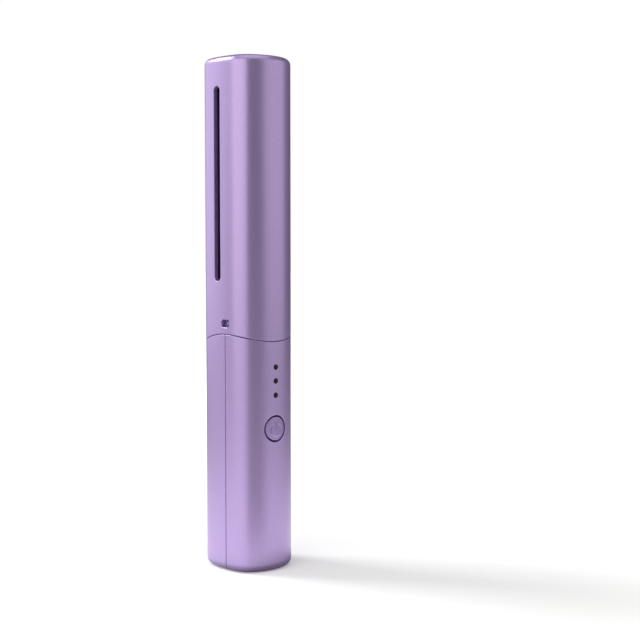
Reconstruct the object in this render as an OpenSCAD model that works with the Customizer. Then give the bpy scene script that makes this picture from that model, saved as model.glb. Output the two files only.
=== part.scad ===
// Cordless hot comb with a lift-off cap.
// +Z runs up the handle, -Y is the button side, -X is the side the teeth point to.
// The origin is the centre of the flat base.

/* [Body] */
// Overall height with the cap on
total_h = 205; // [204:0.5:206]
// Width across the two seams
body_w = 30.2; // [29.8:0.1:30.6]
// Depth from the button side to the back
body_d = 34.3; // [34:0.1:34.8]
// Radius of the gently curved left and right sides
side_r = 40; // [36:1:60]
// Radius of the curved front and back
front_r = 18; // [17:0.5:22]
// Radius of the four soft corners
corner_r = 10.2; // [9.4:0.1:11]
// Wall of the handle shells
wall = 1.8; // [1.6:0.1:1.9]
// Fillet around the base
base_fillet = 3; // [2:0.5:4]
// Distance of the shell split from the centre, towards the button
split_off = 3.5; // [3.3:0.1:3.7]

/* [Parting line] */
// Height of the parting line at the seams
part_z = 94.9; // [94.4:0.1:95.2]
// Radius of the arched parting line
part_r = 33.5; // [32:0.5:36]
// Gap between the handle and the cap
part_gap = 0.3; // [0.25:0.05:0.4]

/* [Cap] */
// Wall of the cap
cap_wall = 1.85; // [1.7:0.05:1.9]
// Fillet around the top of the cap
cap_fillet = 2.8; // [2:0.2:3.4]
// Width of the vent slot
slot_w = 3.8; // [3:0.1:4]
// Distance of the vent slot from the centre, towards the back
slot_y = 1; // [0:0.1:1.5]
// Lower end of the vent slot
slot_z0 = 116; // [114:1:120]
// Upper end of the vent slot
slot_z1 = 192.7; // [188:0.1:194]
// Height of the two snap holes
snap_hole_h = 3; // [2.9:0.1:3.1]
// Width of the two snap holes
snap_hole_w = 4.3; // [4.2:0.1:4.4]
// Height of the snap holes
snap_z = 99.3; // [99:0.1:99.5]

/* [Comb] */
// Height of the top of the comb
comb_top = 198.8; // [198:0.2:199.4]
// Distance of the tooth tips from the centre
tip_x = 12.2; // [11.8:0.1:12.2]
// Distance of the spine from the centre
spine_x = 11.6; // [11.2:0.1:11.6]
// Thickness of the comb across both shells
comb_t = 9.4; // [9.2:0.1:9.6]
// Number of gaps between the teeth
gap_count = 15; // [15:1:15]
// Distance from one tooth to the next
tooth_pitch = 5.157; // [5.1:0.01:5.17]
// Height of the lowest gap
gap_z0 = 116.7; // [116.5:0.1:116.8]
// Width of a gap at its root
gap_root = 2.2; // [2:0.1:2.4]
// Width of a gap at the tooth tips
gap_tip = 3.6; // [3.2:0.1:3.8]
// Inset of the collar that the cap slides over
collar_inset = 2.35; // [2.3:0.05:2.4]

/* [Heater] */
// Thickness of the heated comb
blade_t = 4.4; // [4.2:0.1:4.4]
// Reach of the heated blade towards the tips
blade_x = 4.6; // [4:0.1:5]
// Reach of the heated fins towards the tips
fin_x = 9.6; // [9:0.1:9.8]

/* [Controls] */
// Diameter of the power button
button_d = 9.7; // [9.5:0.1:9.8]
// Diameter of the button opening
button_hole_d = 10.7; // [10.6:0.1:10.9]
// Height of the power button
button_z = 57.4; // [57:0.1:57.8]
// Diameter of the indicator windows
led_d = 2.1; // [1.9:0.1:2.1]

/* [Electronics] */
// Diameter of the battery cell
cell_d = 18.2; // [18:0.1:18.2]
// Length of the battery cell
cell_l = 65; // [64:0.5:65]
// Width of the circuit board
board_w = 16; // [15:0.5:16]
// Thickness of the circuit board
board_t = 1.6; // [1:0.1:1.6]

/* [Hidden] */
$fn = 48;

lilac = "#b39dcf";
ha = body_w / 2;
hb = body_d / 2;
sy = -split_off;          // the plane where the shells meet
fit = 0.03;               // each shell stops this far short of that plane
arc_z = part_z - part_r;  // axis of the arched parting line
collar_z0 = 83.4;
collar_top = 101.4;
led_z = [82, 76.5, 70.8];
board_y = -9.6;           // front face of the board
cell_y = 5.2;
cell_z = 8;
usb_y = -6.4;
face_y = comb_t / 2;      // comb faces, measured from the split plane
blade_y = blade_t / 2;
screw_x = 6.3;

// ---- the rounded section, as four pairs of tangent arcs ----
// Centre of a corner arc: where the side arc and the front arc both touch it.
function corner_c(a, b, rs, rf, rc) =
    let (c1 = [a - rs, 0], c2 = [0, b - rf], d1 = rs - rc, d2 = rf - rc, v = c2 - c1,
         d = norm(v), t = (d1 * d1 - d2 * d2 + d * d) / (2 * d),
         h = sqrt(d1 * d1 - t * t), u = v / d)
    c1 + t * u + h * [-u[1], u[0]];

function arc_pts(c, r, a0, a1, n) =
    [for (i = [0 : n - 1]) let (t = a0 + (a1 - a0) * i / n) c + r * [cos(t), sin(t)]];

// One quarter of the section, from the side round to the front.
function quarter(ins) =
    let (rs = side_r - ins, rf = front_r - ins, rc = corner_r - ins,
         cc = corner_c(ha, hb, side_r, front_r, corner_r),
         c1 = [ha - side_r, 0], c2 = [0, hb - front_r],
         a1 = atan2(cc[1] - c1[1], cc[0] - c1[0]), a2 = atan2(cc[1] - c2[1], cc[0] - c2[0]))
    concat(arc_pts(c1, rs, 0, a1, 2), arc_pts(cc, rc, a1, a2, 8), arc_pts(c2, rf, a2, 90, 3));

function oval(ins) =
    let (q = quarter(ins), n = len(q), top = [0, hb - ins], side = [ha - ins, 0])
    concat(q, [top], [for (i = [n - 1 : -1 : 1]) [-q[i][0], q[i][1]]],
           [-side], [for (i = [1 : n - 1]) [-q[i][0], -q[i][1]]], [-top],
           [for (i = [n - 1 : -1 : 1]) [q[i][0], -q[i][1]]]);

module section(ins) { polygon(oval(ins)); }

module prism(ins, z0, z1) { translate([0, 0, z0]) linear_extrude(height = z1 - z0) section(ins); }

module ring(ins0, ins1, z0, z1) {
    translate([0, 0, z0]) linear_extrude(height = z1 - z0)
        difference() { section(ins0); section(ins1); }
}

// The section lofted through rings of [height, inset].
module loft(rings) {
    n = len(oval(0));
    m = len(rings);
    polyhedron(
        points = [for (r = rings) for (p = oval(r[1])) [p[0], p[1], r[0]]],
        faces = concat([[for (i = [0 : n - 1]) i]],
            [for (k = [0 : m - 2]) for (i = [0 : n - 1]) [k * n + i, (k + 1) * n + i, (k + 1) * n + (i + 1) % n, k * n + (i + 1) % n]],
            [[for (i = [n - 1 : -1 : 0]) (m - 1) * n + i]]));
}

// A prism of the section with a fillet f0 below and f1 above, and a slight crown.
module pebble(ins, z0, z1, f0, f1, crown = 0) {
    prism(ins, z0 + f0, z1 - crown - f1);
    if (f0 > 0) loft([for (t = [0 : 30 : 90]) [z0 + f0 * (1 - cos(t)), ins + f0 * (1 - sin(t))]]);
    if (f1 > 0) loft(concat([for (t = [0 : 30 : 90]) [z1 - crown - f1 * (1 - sin(t)), ins + f1 * (1 - cos(t))]],
        crown > 0 ? [[z1, ins + 9]] : []));
}

// Everything under the arched parting surface of radius r.
module below_arc(r, crest_z) {
    translate([0, sy, crest_z - r]) rotate([0, 90, 0]) cylinder(r = r, h = 64, center = true, $fn = 180);
    translate([-30, -40, -2]) cube([60, 80, crest_z - r + 2]);
}

module front_half(z0 = -3, z1 = 210) { translate([-25, -30, z0]) cube([50, 30 + sy - fit, z1 - z0]); }
module rear_half(z0 = -3, z1 = 210) { translate([-25, sy + fit, z0]) cube([50, 34, z1 - z0]); }

// A cylinder along Y from y0 to y1.
module along_y(x, z, y0, y1, r) { translate([x, y0, z]) rotate([-90, 0, 0]) cylinder(r = r, h = y1 - y0); }

module slab(w, t, r) {
    for (x = [-1, 1]) for (y = [-1, 1]) translate([x * (w / 2 - r), y * (t / 2 - r)]) circle(r = r);
    square([w - 2 * r, t], center = true);
    square([w, t - 2 * r], center = true);
}

// A wire of radius r through the points p, with eight sides.
module wire(p, r) {
    n = len(p);
    dir = [for (i = [0 : n - 1]) let (v = p[min(i + 1, n - 1)] - p[max(i - 1, 0)]) v / norm(v)];
    side = [for (d = dir) let (c = cross(d, [1, 0, 0])) c / norm(c)];
    pts = [for (i = [0 : n - 1]) for (k = [0 : 7]) p[i] + r * (cos(45 * k) * side[i] + sin(45 * k) * cross(dir[i], side[i]))];
    polyhedron(points = pts, faces = concat(
        [[for (k = [7 : -1 : 0]) k]],
        [for (i = [0 : n - 2]) for (k = [0 : 7]) [i * 8 + k, i * 8 + (k + 1) % 8, (i + 1) * 8 + (k + 1) % 8, (i + 1) * 8 + k]],
        [[for (k = [0 : 7]) (n - 1) * 8 + k]]));
}

// A smooth path through three guide points and a start and an end.
function bez(a, b, c, d, n) = [for (i = [0 : n]) let (t = i / n, u = 1 - t)
    u * u * u * a + 3 * u * u * t * b + 3 * u * t * t * c + t * t * t * d];

// ---- handle ----
module handle_skin() {
    difference() {
        intersection() {
            pebble(0, 0, part_z + 2, base_fillet, 0);
            below_arc(part_r, part_z);
        }
        pebble(wall, 2, part_z + 6, 2, 0);
    }
    // ledge under the collar, and the lip over its flange
    ring(wall - 0.3, 4, 81.8, 83.3);
    ring(wall - 0.3, wall + 0.38, 85.1, 86.1);
}

module front_shell() {
    color(lilac) difference() {
        intersection() { handle_skin(); front_half(); }
        along_y(0, button_z, -20, -10, button_hole_d / 2);
        for (z = led_z) along_y(0, z, -20, -10, led_d / 2 + 0.06);
        translate([0, usb_y, -1]) linear_extrude(height = 4) slab(9.6, 3.8, 1.85);
        // windows for the rear shell's catches
        for (z = [20, 60]) for (x = [-1, 1]) translate([x * (ha - wall - 0.1) - 0.35, sy - 1.35, z - 3]) cube([0.7, 0.8, 6]);
    }
}

module rear_shell() {
    color(lilac) {
        intersection() { handle_skin(); rear_half(); }
        // tongue that slides inside the front shell, with four catches
        intersection() {
            union() {
                ring(wall - 0.2, wall + 1, 6, 80);
                for (z = [20, 60]) for (x = [-1, 1]) translate([x * (ha - wall - 0.25) - 0.35, sy - 1.2, z - 2.7]) cube([0.7, 0.5, 5.4]);
            }
            union() {
                translate([-25, sy + fit, 0]) cube([50, 1.5, 90]);
                intersection() { translate([-25, sy - 1.6, 0]) cube([50, 2.4, 90]); prism(wall + 0.08, 0, 90); }
                for (z = [20, 60]) for (x = [-1, 1]) translate([x * (ha - wall - 0.25) - 0.35, sy - 1.2, z - 2.7]) cube([0.7, 0.5, 5.4]);
            }
        }
    }
}

// ---- chassis that holds the cell and the board ----
module inner_frame() {
    color("#3a3a3e") difference() {
        union() {
            translate([-10.2, -6.2, 9]) cube([20.4, 1.7, 67.8]);
            for (x = [-10.2, 9.4]) translate([x, -6.2, 5]) cube([0.8, 8.2, 71.8]);
            for (z = [5, 75.2]) translate([0, 0, z]) linear_extrude(height = 1.6)
                intersection() { section(3.2); translate([-10.2, -4.6]) square([20.4, 13.6]); }
            for (x = [-screw_x, screw_x]) for (z = [12, 62]) along_y(x, z, board_y + board_t + 0.02, -5, 2.1);
        }
        for (x = [-screw_x, screw_x]) for (z = [12, 62]) along_y(x, z, -9, -4, 0.85);
        // way out for the battery leads
        translate([3.6, -7, 74]) cube([3.8, 20, 4]);
    }
}

// ---- comb shells ----
// Outline of the comb, seen from the button side: neck, lower lobe, dome and spine.
function dome(n) = [for (i = [0 : n]) let (x = spine_x + (-tip_x - spine_x) * i / n, x0 = 2.6,
    u = x > x0 ? (x - x0) / (spine_x - x0) : (x0 - x) / (x0 + tip_x))
    [x, comb_top - (x > x0 ? 5.2 * pow(u, 2.6) : 7.4 * pow(u, 2.3))]];

module comb_outline() {
    polygon(concat([[spine_x, 98]], dome(26), [[-tip_x, 111.9], [-tip_x + 0.5, 111.4], [-9, 110.9], [-7.7, 109.4], [-7.2, 106.5], [-7.2, 98]]));
}

// One gap, open at the tips, with a round root.
module gap() {
    xr = 9.2;
    polygon([[xr, -gap_root / 2], [xr, gap_root / 2], [-tip_x - 1, gap_tip / 2], [-tip_x - 1, -gap_tip / 2]]);
    translate([xr, 0]) circle(r = gap_root / 2, $fn = 24);
}

module comb_body() {
    intersection() {
        translate([0, sy + face_y, 0]) rotate([90, 0, 0]) linear_extrude(height = comb_t) comb_outline();
        prism(cap_wall + 0.6, 90, 205);
    }
    intersection() { prism(collar_inset, collar_z0, collar_top + 1); below_arc(part_r, collar_top); }
    // shoulder, from the collar in to the neck
    loft([[95.9, collar_inset + 0.6], [99.4, collar_inset + 1.6], [101.9, collar_inset + 4], [103.4, collar_inset + 6.5]]);
    // flange that the handle shells hold
    ring(wall + 0.13, 4.1, collar_z0, 84.8);
    // snap bumps on both seams
    for (x = [-1, 1]) translate([x * (ha - collar_inset - 0.6), sy, snap_z]) rotate([0, x * 90, 0]) rotate([0, 0, 45]) {
        cylinder(r = 1.3, h = 1, $fn = 32);
        translate([0, 0, 1]) cylinder(r1 = 1.3, r2 = 0.8, h = 0.42, $fn = 32);
    }
}

module comb_hollow() {
    // room for the heated comb, open between the tooth rows
    translate([-8.9, sy - blade_y - 0.4, 109.6]) cube([18.5, blade_t + 0.8, 82.8]);
    translate([-tip_x - 1, sy - blade_y - 0.4, 115.3]) cube([6, blade_t + 0.8, 74.6]);
    // neck
    translate([-5.4, sy - 2.9, 96]) cube([14.8, 5.8, 14]);
    // collar and shoulder
    prism(collar_inset + 1.7, 80, 92);
    prism(collar_inset + 4.6, 91, 96.5);
}

// The outer faces of the tooth tips slope in to the middle.
module tip_bevel(side) {
    for (s = [side]) translate([-6.3, sy + s * face_y, 115]) rotate([0, 0, s * 10])
        translate([-12, s > 0 ? 0 : -8, 0.2]) cube([12, 8, 75.2]);
}

// Small tabs at the gap roots that hold the heated comb in the middle.
module tabs(side, z0, count) {
    for (k = [0 : count - 1]) translate([6.8, sy + side * (blade_y + 0.48) - 0.45, z0 + k * tooth_pitch - 0.5])
        cube([3.7, 0.9, 1]);
}

module comb_front_shell() {
    color(lilac) tabs(-1, gap_z0 + tooth_pitch / 2, gap_count - 1);
    color(lilac) difference() {
        union() {
            difference() {
                intersection() { comb_body(); front_half(80, 205); }
                comb_hollow();
            }
            // screw posts
            intersection() {
                for (x = [-7, 7]) along_y(x, 87, -13.6, sy - fit, 2.2);
                prism(collar_inset + 0.6, 84, 92);
            }
        }
        for (k = [0 : gap_count - 2]) translate([0, sy - 1, gap_z0 + (k + 0.5) * tooth_pitch])
            rotate([90, 0, 0]) linear_extrude(height = 8) gap();
        tip_bevel(-1);
        for (x = [-7, 7]) { along_y(x, 87, -15, sy + 1, 1.15); along_y(x, 87, -15, -10.5, 1.9); }
    }
}

module comb_rear_shell() {
    color(lilac) tabs(1, gap_z0, gap_count);
    color(lilac) difference() {
        union() {
            difference() {
                intersection() { comb_body(); rear_half(80, 205); }
                comb_hollow();
            }
            intersection() {
                for (x = [-7, 7]) along_y(x, 87, sy + fit, 13.6, 2.2);
                prism(collar_inset + 0.6, 84, 92);
            }
            // friction rib for the cap
            intersection() { translate([-1, 12, 87.8]) cube([2, 3, 7.4]); prism(collar_inset - 0.28, 86, 96.5); }
        }
        for (k = [0 : gap_count - 1]) translate([0, sy + 9, gap_z0 + k * tooth_pitch])
            rotate([90, 0, 0]) linear_extrude(height = 8) gap();
        tip_bevel(1);
        for (x = [-7, 7]) along_y(x, 87, sy - 1, 4, 0.95);
    }
}

module comb_screws() {
    color("#c8c8cc") for (x = [-7, 7]) {
        along_y(x, 87, -11.7, -10.52, 1.7);
        along_y(x, 87, -10.6, 3, 0.9);
    }
}

// ---- heater ----
module heating_comb() {
    color("#161616") difference() {
        union() {
            translate([-blade_x, sy - blade_y, 110]) cube([blade_x + 9.2, blade_t, 82]);
            for (k = [1 : gap_count - 1]) translate([0, sy + blade_y, gap_z0 + (k - 0.5) * tooth_pitch + 0.5])
                rotate([90, 0, 0]) linear_extrude(height = blade_t)
                    polygon([[-blade_x + 0.2, -2.1], [-blade_x + 0.2, 2.1], [-fin_x, 0.75], [-fin_x, -0.75]]);
        }
        translate([-2, sy - 1.25, 108]) cube([8, 2.5, 80.4]);
    }
}

module heater_insulation() {
    color("#c98a2b") difference() {
        translate([-1.9, sy - 1.15, 113]) cube([7.8, 2.3, 74.6]);
        translate([-1.75, sy - 1, 112]) cube([7.5, 2, 77]);
    }
}

module ptc_heater() { color("#d8d2c4") translate([-1.65, sy - 0.95, 113.6]) cube([7.3, 1.9, 73.4]); }

module thermistor() {
    color("#7a3b2e") {
        translate([0, sy, 111.6]) sphere(r = 0.9, $fn = 24);
        for (x = [-0.4, 0.4]) translate([x, sy, 103.4]) cylinder(r = 0.22, h = 7.8, $fn = 16);
    }
}

module neck_insulator() {
    color("#e9e4d6") difference() {
        translate([-5, sy - 2.6, 103]) cube([13.6, 5.2, 6.4]);
        translate([-4, sy - 1.7, 102]) cube([8, 2.6, 9]);
    }
}

module thermal_fuse() {
    color("#d9d9d9") {
        translate([0, sy, 92]) cylinder(r = 1.5, h = 8);
        translate([0, sy, 90.2]) cylinder(r = 0.3, h = 11.4, $fn = 16);
    }
}

module heater_leads() {
    color("#e8e8e8") {
        wire(bez([2.9, sy, 113.2], [2.9, sy, 100], [4, -6.9, 94], [4, -7.2, 79.6], 16), 0.5);
        wire(bez([-2.9, sy, 108.6], [-2.9, sy, 100], [-4, -6.9, 94], [-4, -7.2, 79.6], 16), 0.5);
    }
}

// ---- cell ----
module battery_cell() {
    color("#8f979d") translate([0, cell_y, cell_z]) {
        cylinder(r = cell_d / 2, h = cell_l);
        translate([0, 0, cell_l - 0.1]) cylinder(r = 2.8, h = 0.6);
    }
}

module battery_sleeve() {
    color("#2f7fbf") translate([0, cell_y, cell_z + 0.3]) difference() {
        cylinder(r = cell_d / 2 + 0.16, h = cell_l - 0.6);
        translate([0, 0, -1]) cylinder(r = cell_d / 2 + 0.01, h = cell_l + 2);
    }
}

module battery_washers() {
    color("#d7c79a") translate([0, cell_y, 0]) {
        translate([0, 0, cell_z - 0.25]) cylinder(r = 8.6, h = 0.23);
        translate([0, 0, cell_z + cell_l + 0.02]) difference() {
            cylinder(r = 8.6, h = 0.23);
            translate([0, 0, -1]) cylinder(r = 3.2, h = 3);
        }
    }
}

module nickel_tabs() {
    color("#b9bcc0") {
        translate([-3, -2.6, cell_z + cell_l + 0.52]) cube([9.4, 9.8, 0.15]);
        translate([-7.4, -2.4, cell_z - 0.42]) cube([8.4, 9.6, 0.15]);
    }
}

module battery_leads() {
    color("#b3202a") wire(bez([5.5, 1.2, 74.3], [5.5, -2, 82], [5.5, -7.2, 82], [5.5, -7.3, 76], 12), 0.5);
    color("#1c1c1c") wire(bez([-6.4, -1, 7.04], [-6.6, -5, 6.9], [-6.9, -7.4, 6.9], [-7.1, -7.3, 8.9], 10), 0.42);
}

module battery_pad() {
    color("#4a4a4a") difference() {
        translate([-6, -4.45, 20]) cube([12, 2, 42]);
        translate([0, cell_y, 10]) cylinder(r = cell_d / 2 + 0.2, h = 60);
    }
}

// ---- board ----
module main_board() {
    color("#1f6b45") difference() {
        translate([-board_w / 2, board_y, 2.6]) cube([board_w, board_t, 80]);
        for (x = [-screw_x, screw_x]) for (z = [12, 62]) along_y(x, z, board_y - 1, board_y + board_t + 1, 1.15);
    }
}

module board_components() {
    color("#26262a") {
        translate([-3, board_y - 1, 28]) cube([6, 0.98, 6]);
        translate([-3.2, board_y - 3, 16]) cube([6.4, 2.98, 6.4]);
        translate([-2.6, board_y - 1.1, 40]) cube([5.2, 1.08, 4.2]);
        for (x = [-6, 4.4]) for (z = [20, 24, 36, 44]) translate([x, board_y - 0.8, z]) cube([1.6, 0.78, 0.9]);
        for (x = [-6.4, 4.4]) translate([x, board_y - 1.6, 47.5]) cube([2, 1.58, 3.2]);
    }
}

module board_screws() {
    color("#c8c8cc") for (x = [-screw_x, screw_x]) for (z = [12, 62]) {
        along_y(x, z, board_y - 1.3, board_y - 0.02, 1.9);
        along_y(x, z, board_y - 0.1, -5, 0.8);
    }
}

module tact_switch() {
    color("#3c3c40") difference() {
        translate([-3, board_y - 2, button_z - 3]) cube([6, 1.98, 6]);
        along_y(0, button_z, board_y - 3, board_y - 0.5, 1.95);
    }
}

module tact_plunger() { color("#e6e6e6") along_y(0, button_z, board_y - 2.8, board_y - 1.2, 1.7); }

module indicator_leds() {
    color("#f4f4ee") for (z = led_z) translate([-1, board_y - 0.8, z - 0.6]) cube([2, 0.78, 1.2]);
}

module light_pipe() {
    color("#2b2030") {
        for (z = led_z) intersection() {
            along_y(0, z, -18, -10.8, led_d / 2);
            prism(0.08, 60, 84);
        }
        translate([-1.6, -12.9, led_z[2] - 1.4]) cube([3.2, 0.9, 13.4]);
    }
}

module usb_port_shell() {
    color("#b4b6ba") translate([0, usb_y, 0]) difference() {
        translate([0, 0, 0.8]) linear_extrude(height = 7.3) slab(8.94, 3.16, 1.45);
        translate([0, 0, 0]) linear_extrude(height = 7.6) slab(8.34, 2.56, 1.2);
    }
}

module usb_port_tongue() {
    color("#202020") translate([0, usb_y, 0]) {
        translate([-3.3, -0.35, 1.5]) cube([6.6, 0.7, 5]);
        translate([-3.5, -0.95, 6.3]) cube([7, 1.9, 1.2]);
    }
}

module power_button() {
    color("#a48dc2") {
        intersection() {
            along_y(0, button_z, -18, -12.5, button_d / 2);
            prism(0.06, 45, 66);
        }
        along_y(0, button_z, -13.2, -12.5, 6);
    }
}

// ---- cap ----
module cap_shell() {
    color(lilac) difference() {
        pebble(0, 78, total_h, 0, cap_fillet, 0.5);
        pebble(cap_wall, 76, total_h - 2, 0, 1.4);
        below_arc(part_r + part_gap, part_z + part_gap);
        // vent slot on the tooth side
        translate([-18, slot_y, 0]) rotate([90, 0, 90]) linear_extrude(height = 8) {
            translate([-slot_w / 2, slot_z0 + slot_w / 2]) square([slot_w, slot_z1 - slot_z0 - slot_w]);
            for (z = [slot_z0 + slot_w / 2, slot_z1 - slot_w / 2]) translate([0, z]) circle(r = slot_w / 2);
        }
        // snap holes, with a relief below each for the bump to pass
        for (x = [-1, 1]) {
            translate([x * 14 - 3, sy, snap_z]) rotate([90, 0, 90]) linear_extrude(height = 6) slab(snap_hole_w, snap_hole_h, 0.9);
            translate([x * (ha - cap_wall - 0.2) - 0.8, sy - 1.9, 88]) cube([1.6, 3.8, snap_z - 88]);
        }
    }
}

front_shell();
rear_shell();
inner_frame();
comb_front_shell();
comb_rear_shell();
heating_comb();
ptc_heater();
heater_insulation();
thermistor();
thermal_fuse();
heater_leads();
neck_insulator();
battery_cell();
battery_sleeve();
battery_washers();
nickel_tabs();
battery_leads();
battery_pad();
main_board();
board_components();
tact_switch();
tact_plunger();
indicator_leds();
light_pipe();
usb_port_shell();
usb_port_tongue();
board_screws();
comb_screws();
power_button();
cap_shell();
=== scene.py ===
import math
from math import sin, cos, sqrt, pi, radians, atan2, asin, hypot
import bpy
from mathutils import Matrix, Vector
from mathutils.geometry import delaunay_2d_cdt


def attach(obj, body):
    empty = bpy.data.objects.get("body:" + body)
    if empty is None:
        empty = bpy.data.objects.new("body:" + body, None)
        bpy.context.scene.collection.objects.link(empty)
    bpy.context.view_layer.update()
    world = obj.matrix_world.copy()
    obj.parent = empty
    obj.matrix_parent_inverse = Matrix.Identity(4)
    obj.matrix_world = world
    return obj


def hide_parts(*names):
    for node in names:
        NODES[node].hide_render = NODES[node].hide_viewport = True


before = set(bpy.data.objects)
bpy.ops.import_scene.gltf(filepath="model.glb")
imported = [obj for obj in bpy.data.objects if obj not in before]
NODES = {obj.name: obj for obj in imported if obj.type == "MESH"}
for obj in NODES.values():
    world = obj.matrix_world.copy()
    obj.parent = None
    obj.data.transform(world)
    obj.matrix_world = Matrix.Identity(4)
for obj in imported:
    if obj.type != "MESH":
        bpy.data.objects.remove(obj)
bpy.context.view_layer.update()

MM = 0.001

# ------------------------------------------------------------------ sizes, in millimetres
A, B = 15.1, 17.15                    # half width and half depth of the section
RS, RF, RC = 40.0, 18.0, 10.2         # side, front and corner radii
SY = -3.5                             # plane where the shells meet
WALL = 1.8
BASE_R = 3.0
PART_Z, PART_R, PART_GAP = 94.9, 33.5, 0.3
ARC_Z = PART_Z - PART_R
TOP = 205.0
CAP_WALL = 1.85
SLOT = (3.8, 116.0, 192.7)
SLOT_Y = 1.0
SNAP_W, SNAP_H, SNAP_C, SNAP_Z = 2.15, 1.5, 0.9, 99.3     # half width, half height and corner radius
BUTTON_R, BUTTON_HOLE_R, BUTTON_Z = 4.7, 5.42, 57.4
LED_R, LED_Z = 1.05, (82.0, 76.5, 70.8)
USB_Y = -6.4
EDGE = 0.26                           # radius of the small moulded edges


# ------------------------------------------------------------------ the rounded section
def _corner():
    c1, c2 = (A - RS, 0.0), (0.0, B - RF)
    d1, d2 = RS - RC, RF - RC
    vx, vy = c2[0] - c1[0], c2[1] - c1[1]
    d = hypot(vx, vy)
    t = (d1 * d1 - d2 * d2 + d * d) / (2 * d)
    h = sqrt(d1 * d1 - t * t)
    ux, uy = vx / d, vy / d
    return c1[0] + t * ux - h * uy, c1[1] + t * uy + h * ux


CX, CY = _corner()
A1 = atan2(CY, CX - (A - RS))
A2 = atan2(CY - (B - RF), CX)
L1, L2, L3 = RS * A1, RC * (A2 - A1), RF * (pi / 2 - A2)
Q = L1 + L2 + L3


def base(s):
    """Point and outward normal of the section at arc length s, which starts at +X and runs towards +Y."""
    s %= 4 * Q
    q = min(int(s // Q), 3)
    r = s - q * Q
    if q in (1, 3):
        r = Q - r
    if r <= L1:
        t, cx, cy, rad = r / RS, A - RS, 0.0, RS
    elif r <= L1 + L2:
        t, cx, cy, rad = A1 + (r - L1) / RC, CX, CY, RC
    else:
        t, cx, cy, rad = A2 + (r - L1 - L2) / RF, 0.0, B - RF, RF
    nx, ny = cos(t), sin(t)
    x, y = cx + rad * nx, cy + rad * ny
    fx = -1 if q in (1, 2) else 1
    fy = -1 if q in (2, 3) else 1
    return x * fx, y * fy, nx * fx, ny * fy


def on_section(s, d):
    x, y, nx, ny = base(s)
    return x - d * nx, y - d * ny


def fil(e, r=EDGE):
    """How far a rounded edge has dropped at distance e from it."""
    if e >= r:
        return 0.0
    e = max(e, 0.0)
    return r - sqrt(max(r * r - (r - e) ** 2, 0.0))


EDGE_STEPS = [0.0, 0.034 / 0.25 * EDGE, 0.125 / 0.25 * EDGE, EDGE, EDGE + 0.16]


# ------------------------------------------------------------------ closed shells made of an outer and an inner skin
class Skin:
    def __init__(self):
        self.out, self.inn, self.f = [], [], []

    def v(self, o, i):
        self.out.append(o)
        self.inn.append(i)
        return len(self.out) - 1

    def lattice(self, ws, zs, place, blocks=(), periodic=False):
        """A grid of quads, with the cells of each block left to a triangulation around its holes."""
        nw, nz = len(ws), len(zs)
        near = lambda lst, x: min(range(len(lst)), key=lambda k: abs(lst[k] - x))
        spans = []
        for b in blocks:
            i0, i1 = near(ws, b["w"][0]), near(ws, b["w"][1])
            j0, j1 = near(zs, b["z"][0]), near(zs, b["z"][1])
            spans.append((i0, i1, j0, j1, b))
        idx = {}
        for j in range(nz):
            for i in range(nw):
                drop = False
                for i0, i1, j0, j1, b in spans:
                    if i0 < i < i1 and j0 < j < j1 and any(h.near(ws[i], zs[j]) for h in b["holes"]):
                        drop = True
                if not drop:
                    idx[i, j] = self.v(*place(ws[i], zs[j]))
        for j in range(nz - 1):
            for i in range(nw if periodic else nw - 1):
                i2 = (i + 1) % nw
                if any(i0 <= i < i1 and j0 <= j < j1 for i0, i1, j0, j1, b in spans):
                    continue
                self.f.append((idx[i, j], idx[i2, j], idx[i2, j + 1], idx[i, j + 1]))
        for i0, i1, j0, j1, b in spans:
            loop = [(i, j0) for i in range(i0, i1)] + [(i1, j) for j in range(j0, j1)]
            loop += [(i, j1) for i in range(i1, i0, -1)] + [(i0, j) for j in range(j1, j0, -1)]
            ids = [idx[p] for p in loop]
            co = [(ws[i], zs[j]) for i, j in loop]
            free = [(idx[i, j], (ws[i], zs[j])) for i in range(i0 + 1, i1) for j in range(j0 + 1, j1) if (i, j) in idx]
            self.patch(ids, co, free, b["holes"])
        return idx

    def patch(self, ids, co, free, holes):
        n = len(ids)
        edges = [(k, (k + 1) % n) for k in range(n)]
        ids, co = list(ids), list(co)
        for h in holes:
            for ring in h.rings(self):
                k0, m = len(ids), len(ring)
                ids += [r[0] for r in ring]
                co += [r[1] for r in ring]
                edges += [(k0 + k, k0 + (k + 1) % m) for k in range(m)]
        for i, c in free:
            ids.append(i)
            co.append(c)
        vo, _, fo, orig, _, _ = delaunay_2d_cdt([Vector(c) for c in co], edges, [], 0, 1e-5)
        for f in fo:
            cx = sum(vo[k][0] for k in f) / len(f)
            cy = sum(vo[k][1] for k in f) / len(f)
            if any(h.inside(cx, cy) for h in holes):
                continue
            q = [ids[orig[k][0]] for k in f if orig[k]]
            if len(set(q)) == len(f):
                self.f.append(tuple(q))

    def mesh(self, name, levels=()):
        """Joins both skins along every open edge. levels, meant as shares of the way in at which the joining wall is
        cut, is not used.
        """
        n = len(self.out)
        verts = list(self.out) + list(self.inn)
        faces = [tuple(f) for f in self.f] + [tuple(k + n for k in reversed(f)) for f in self.f]
        count = {}
        for f in self.f:
            for k in range(len(f)):
                a, b = f[k], f[(k + 1) % len(f)]
                key = (a, b) if a < b else (b, a)
                count[key] = count.get(key, 0) + 1
        for (a, b), times in count.items():
            if times == 1:
                faces.append((b, a, a + n, b + n))
        return build(name, verts, faces)


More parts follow.
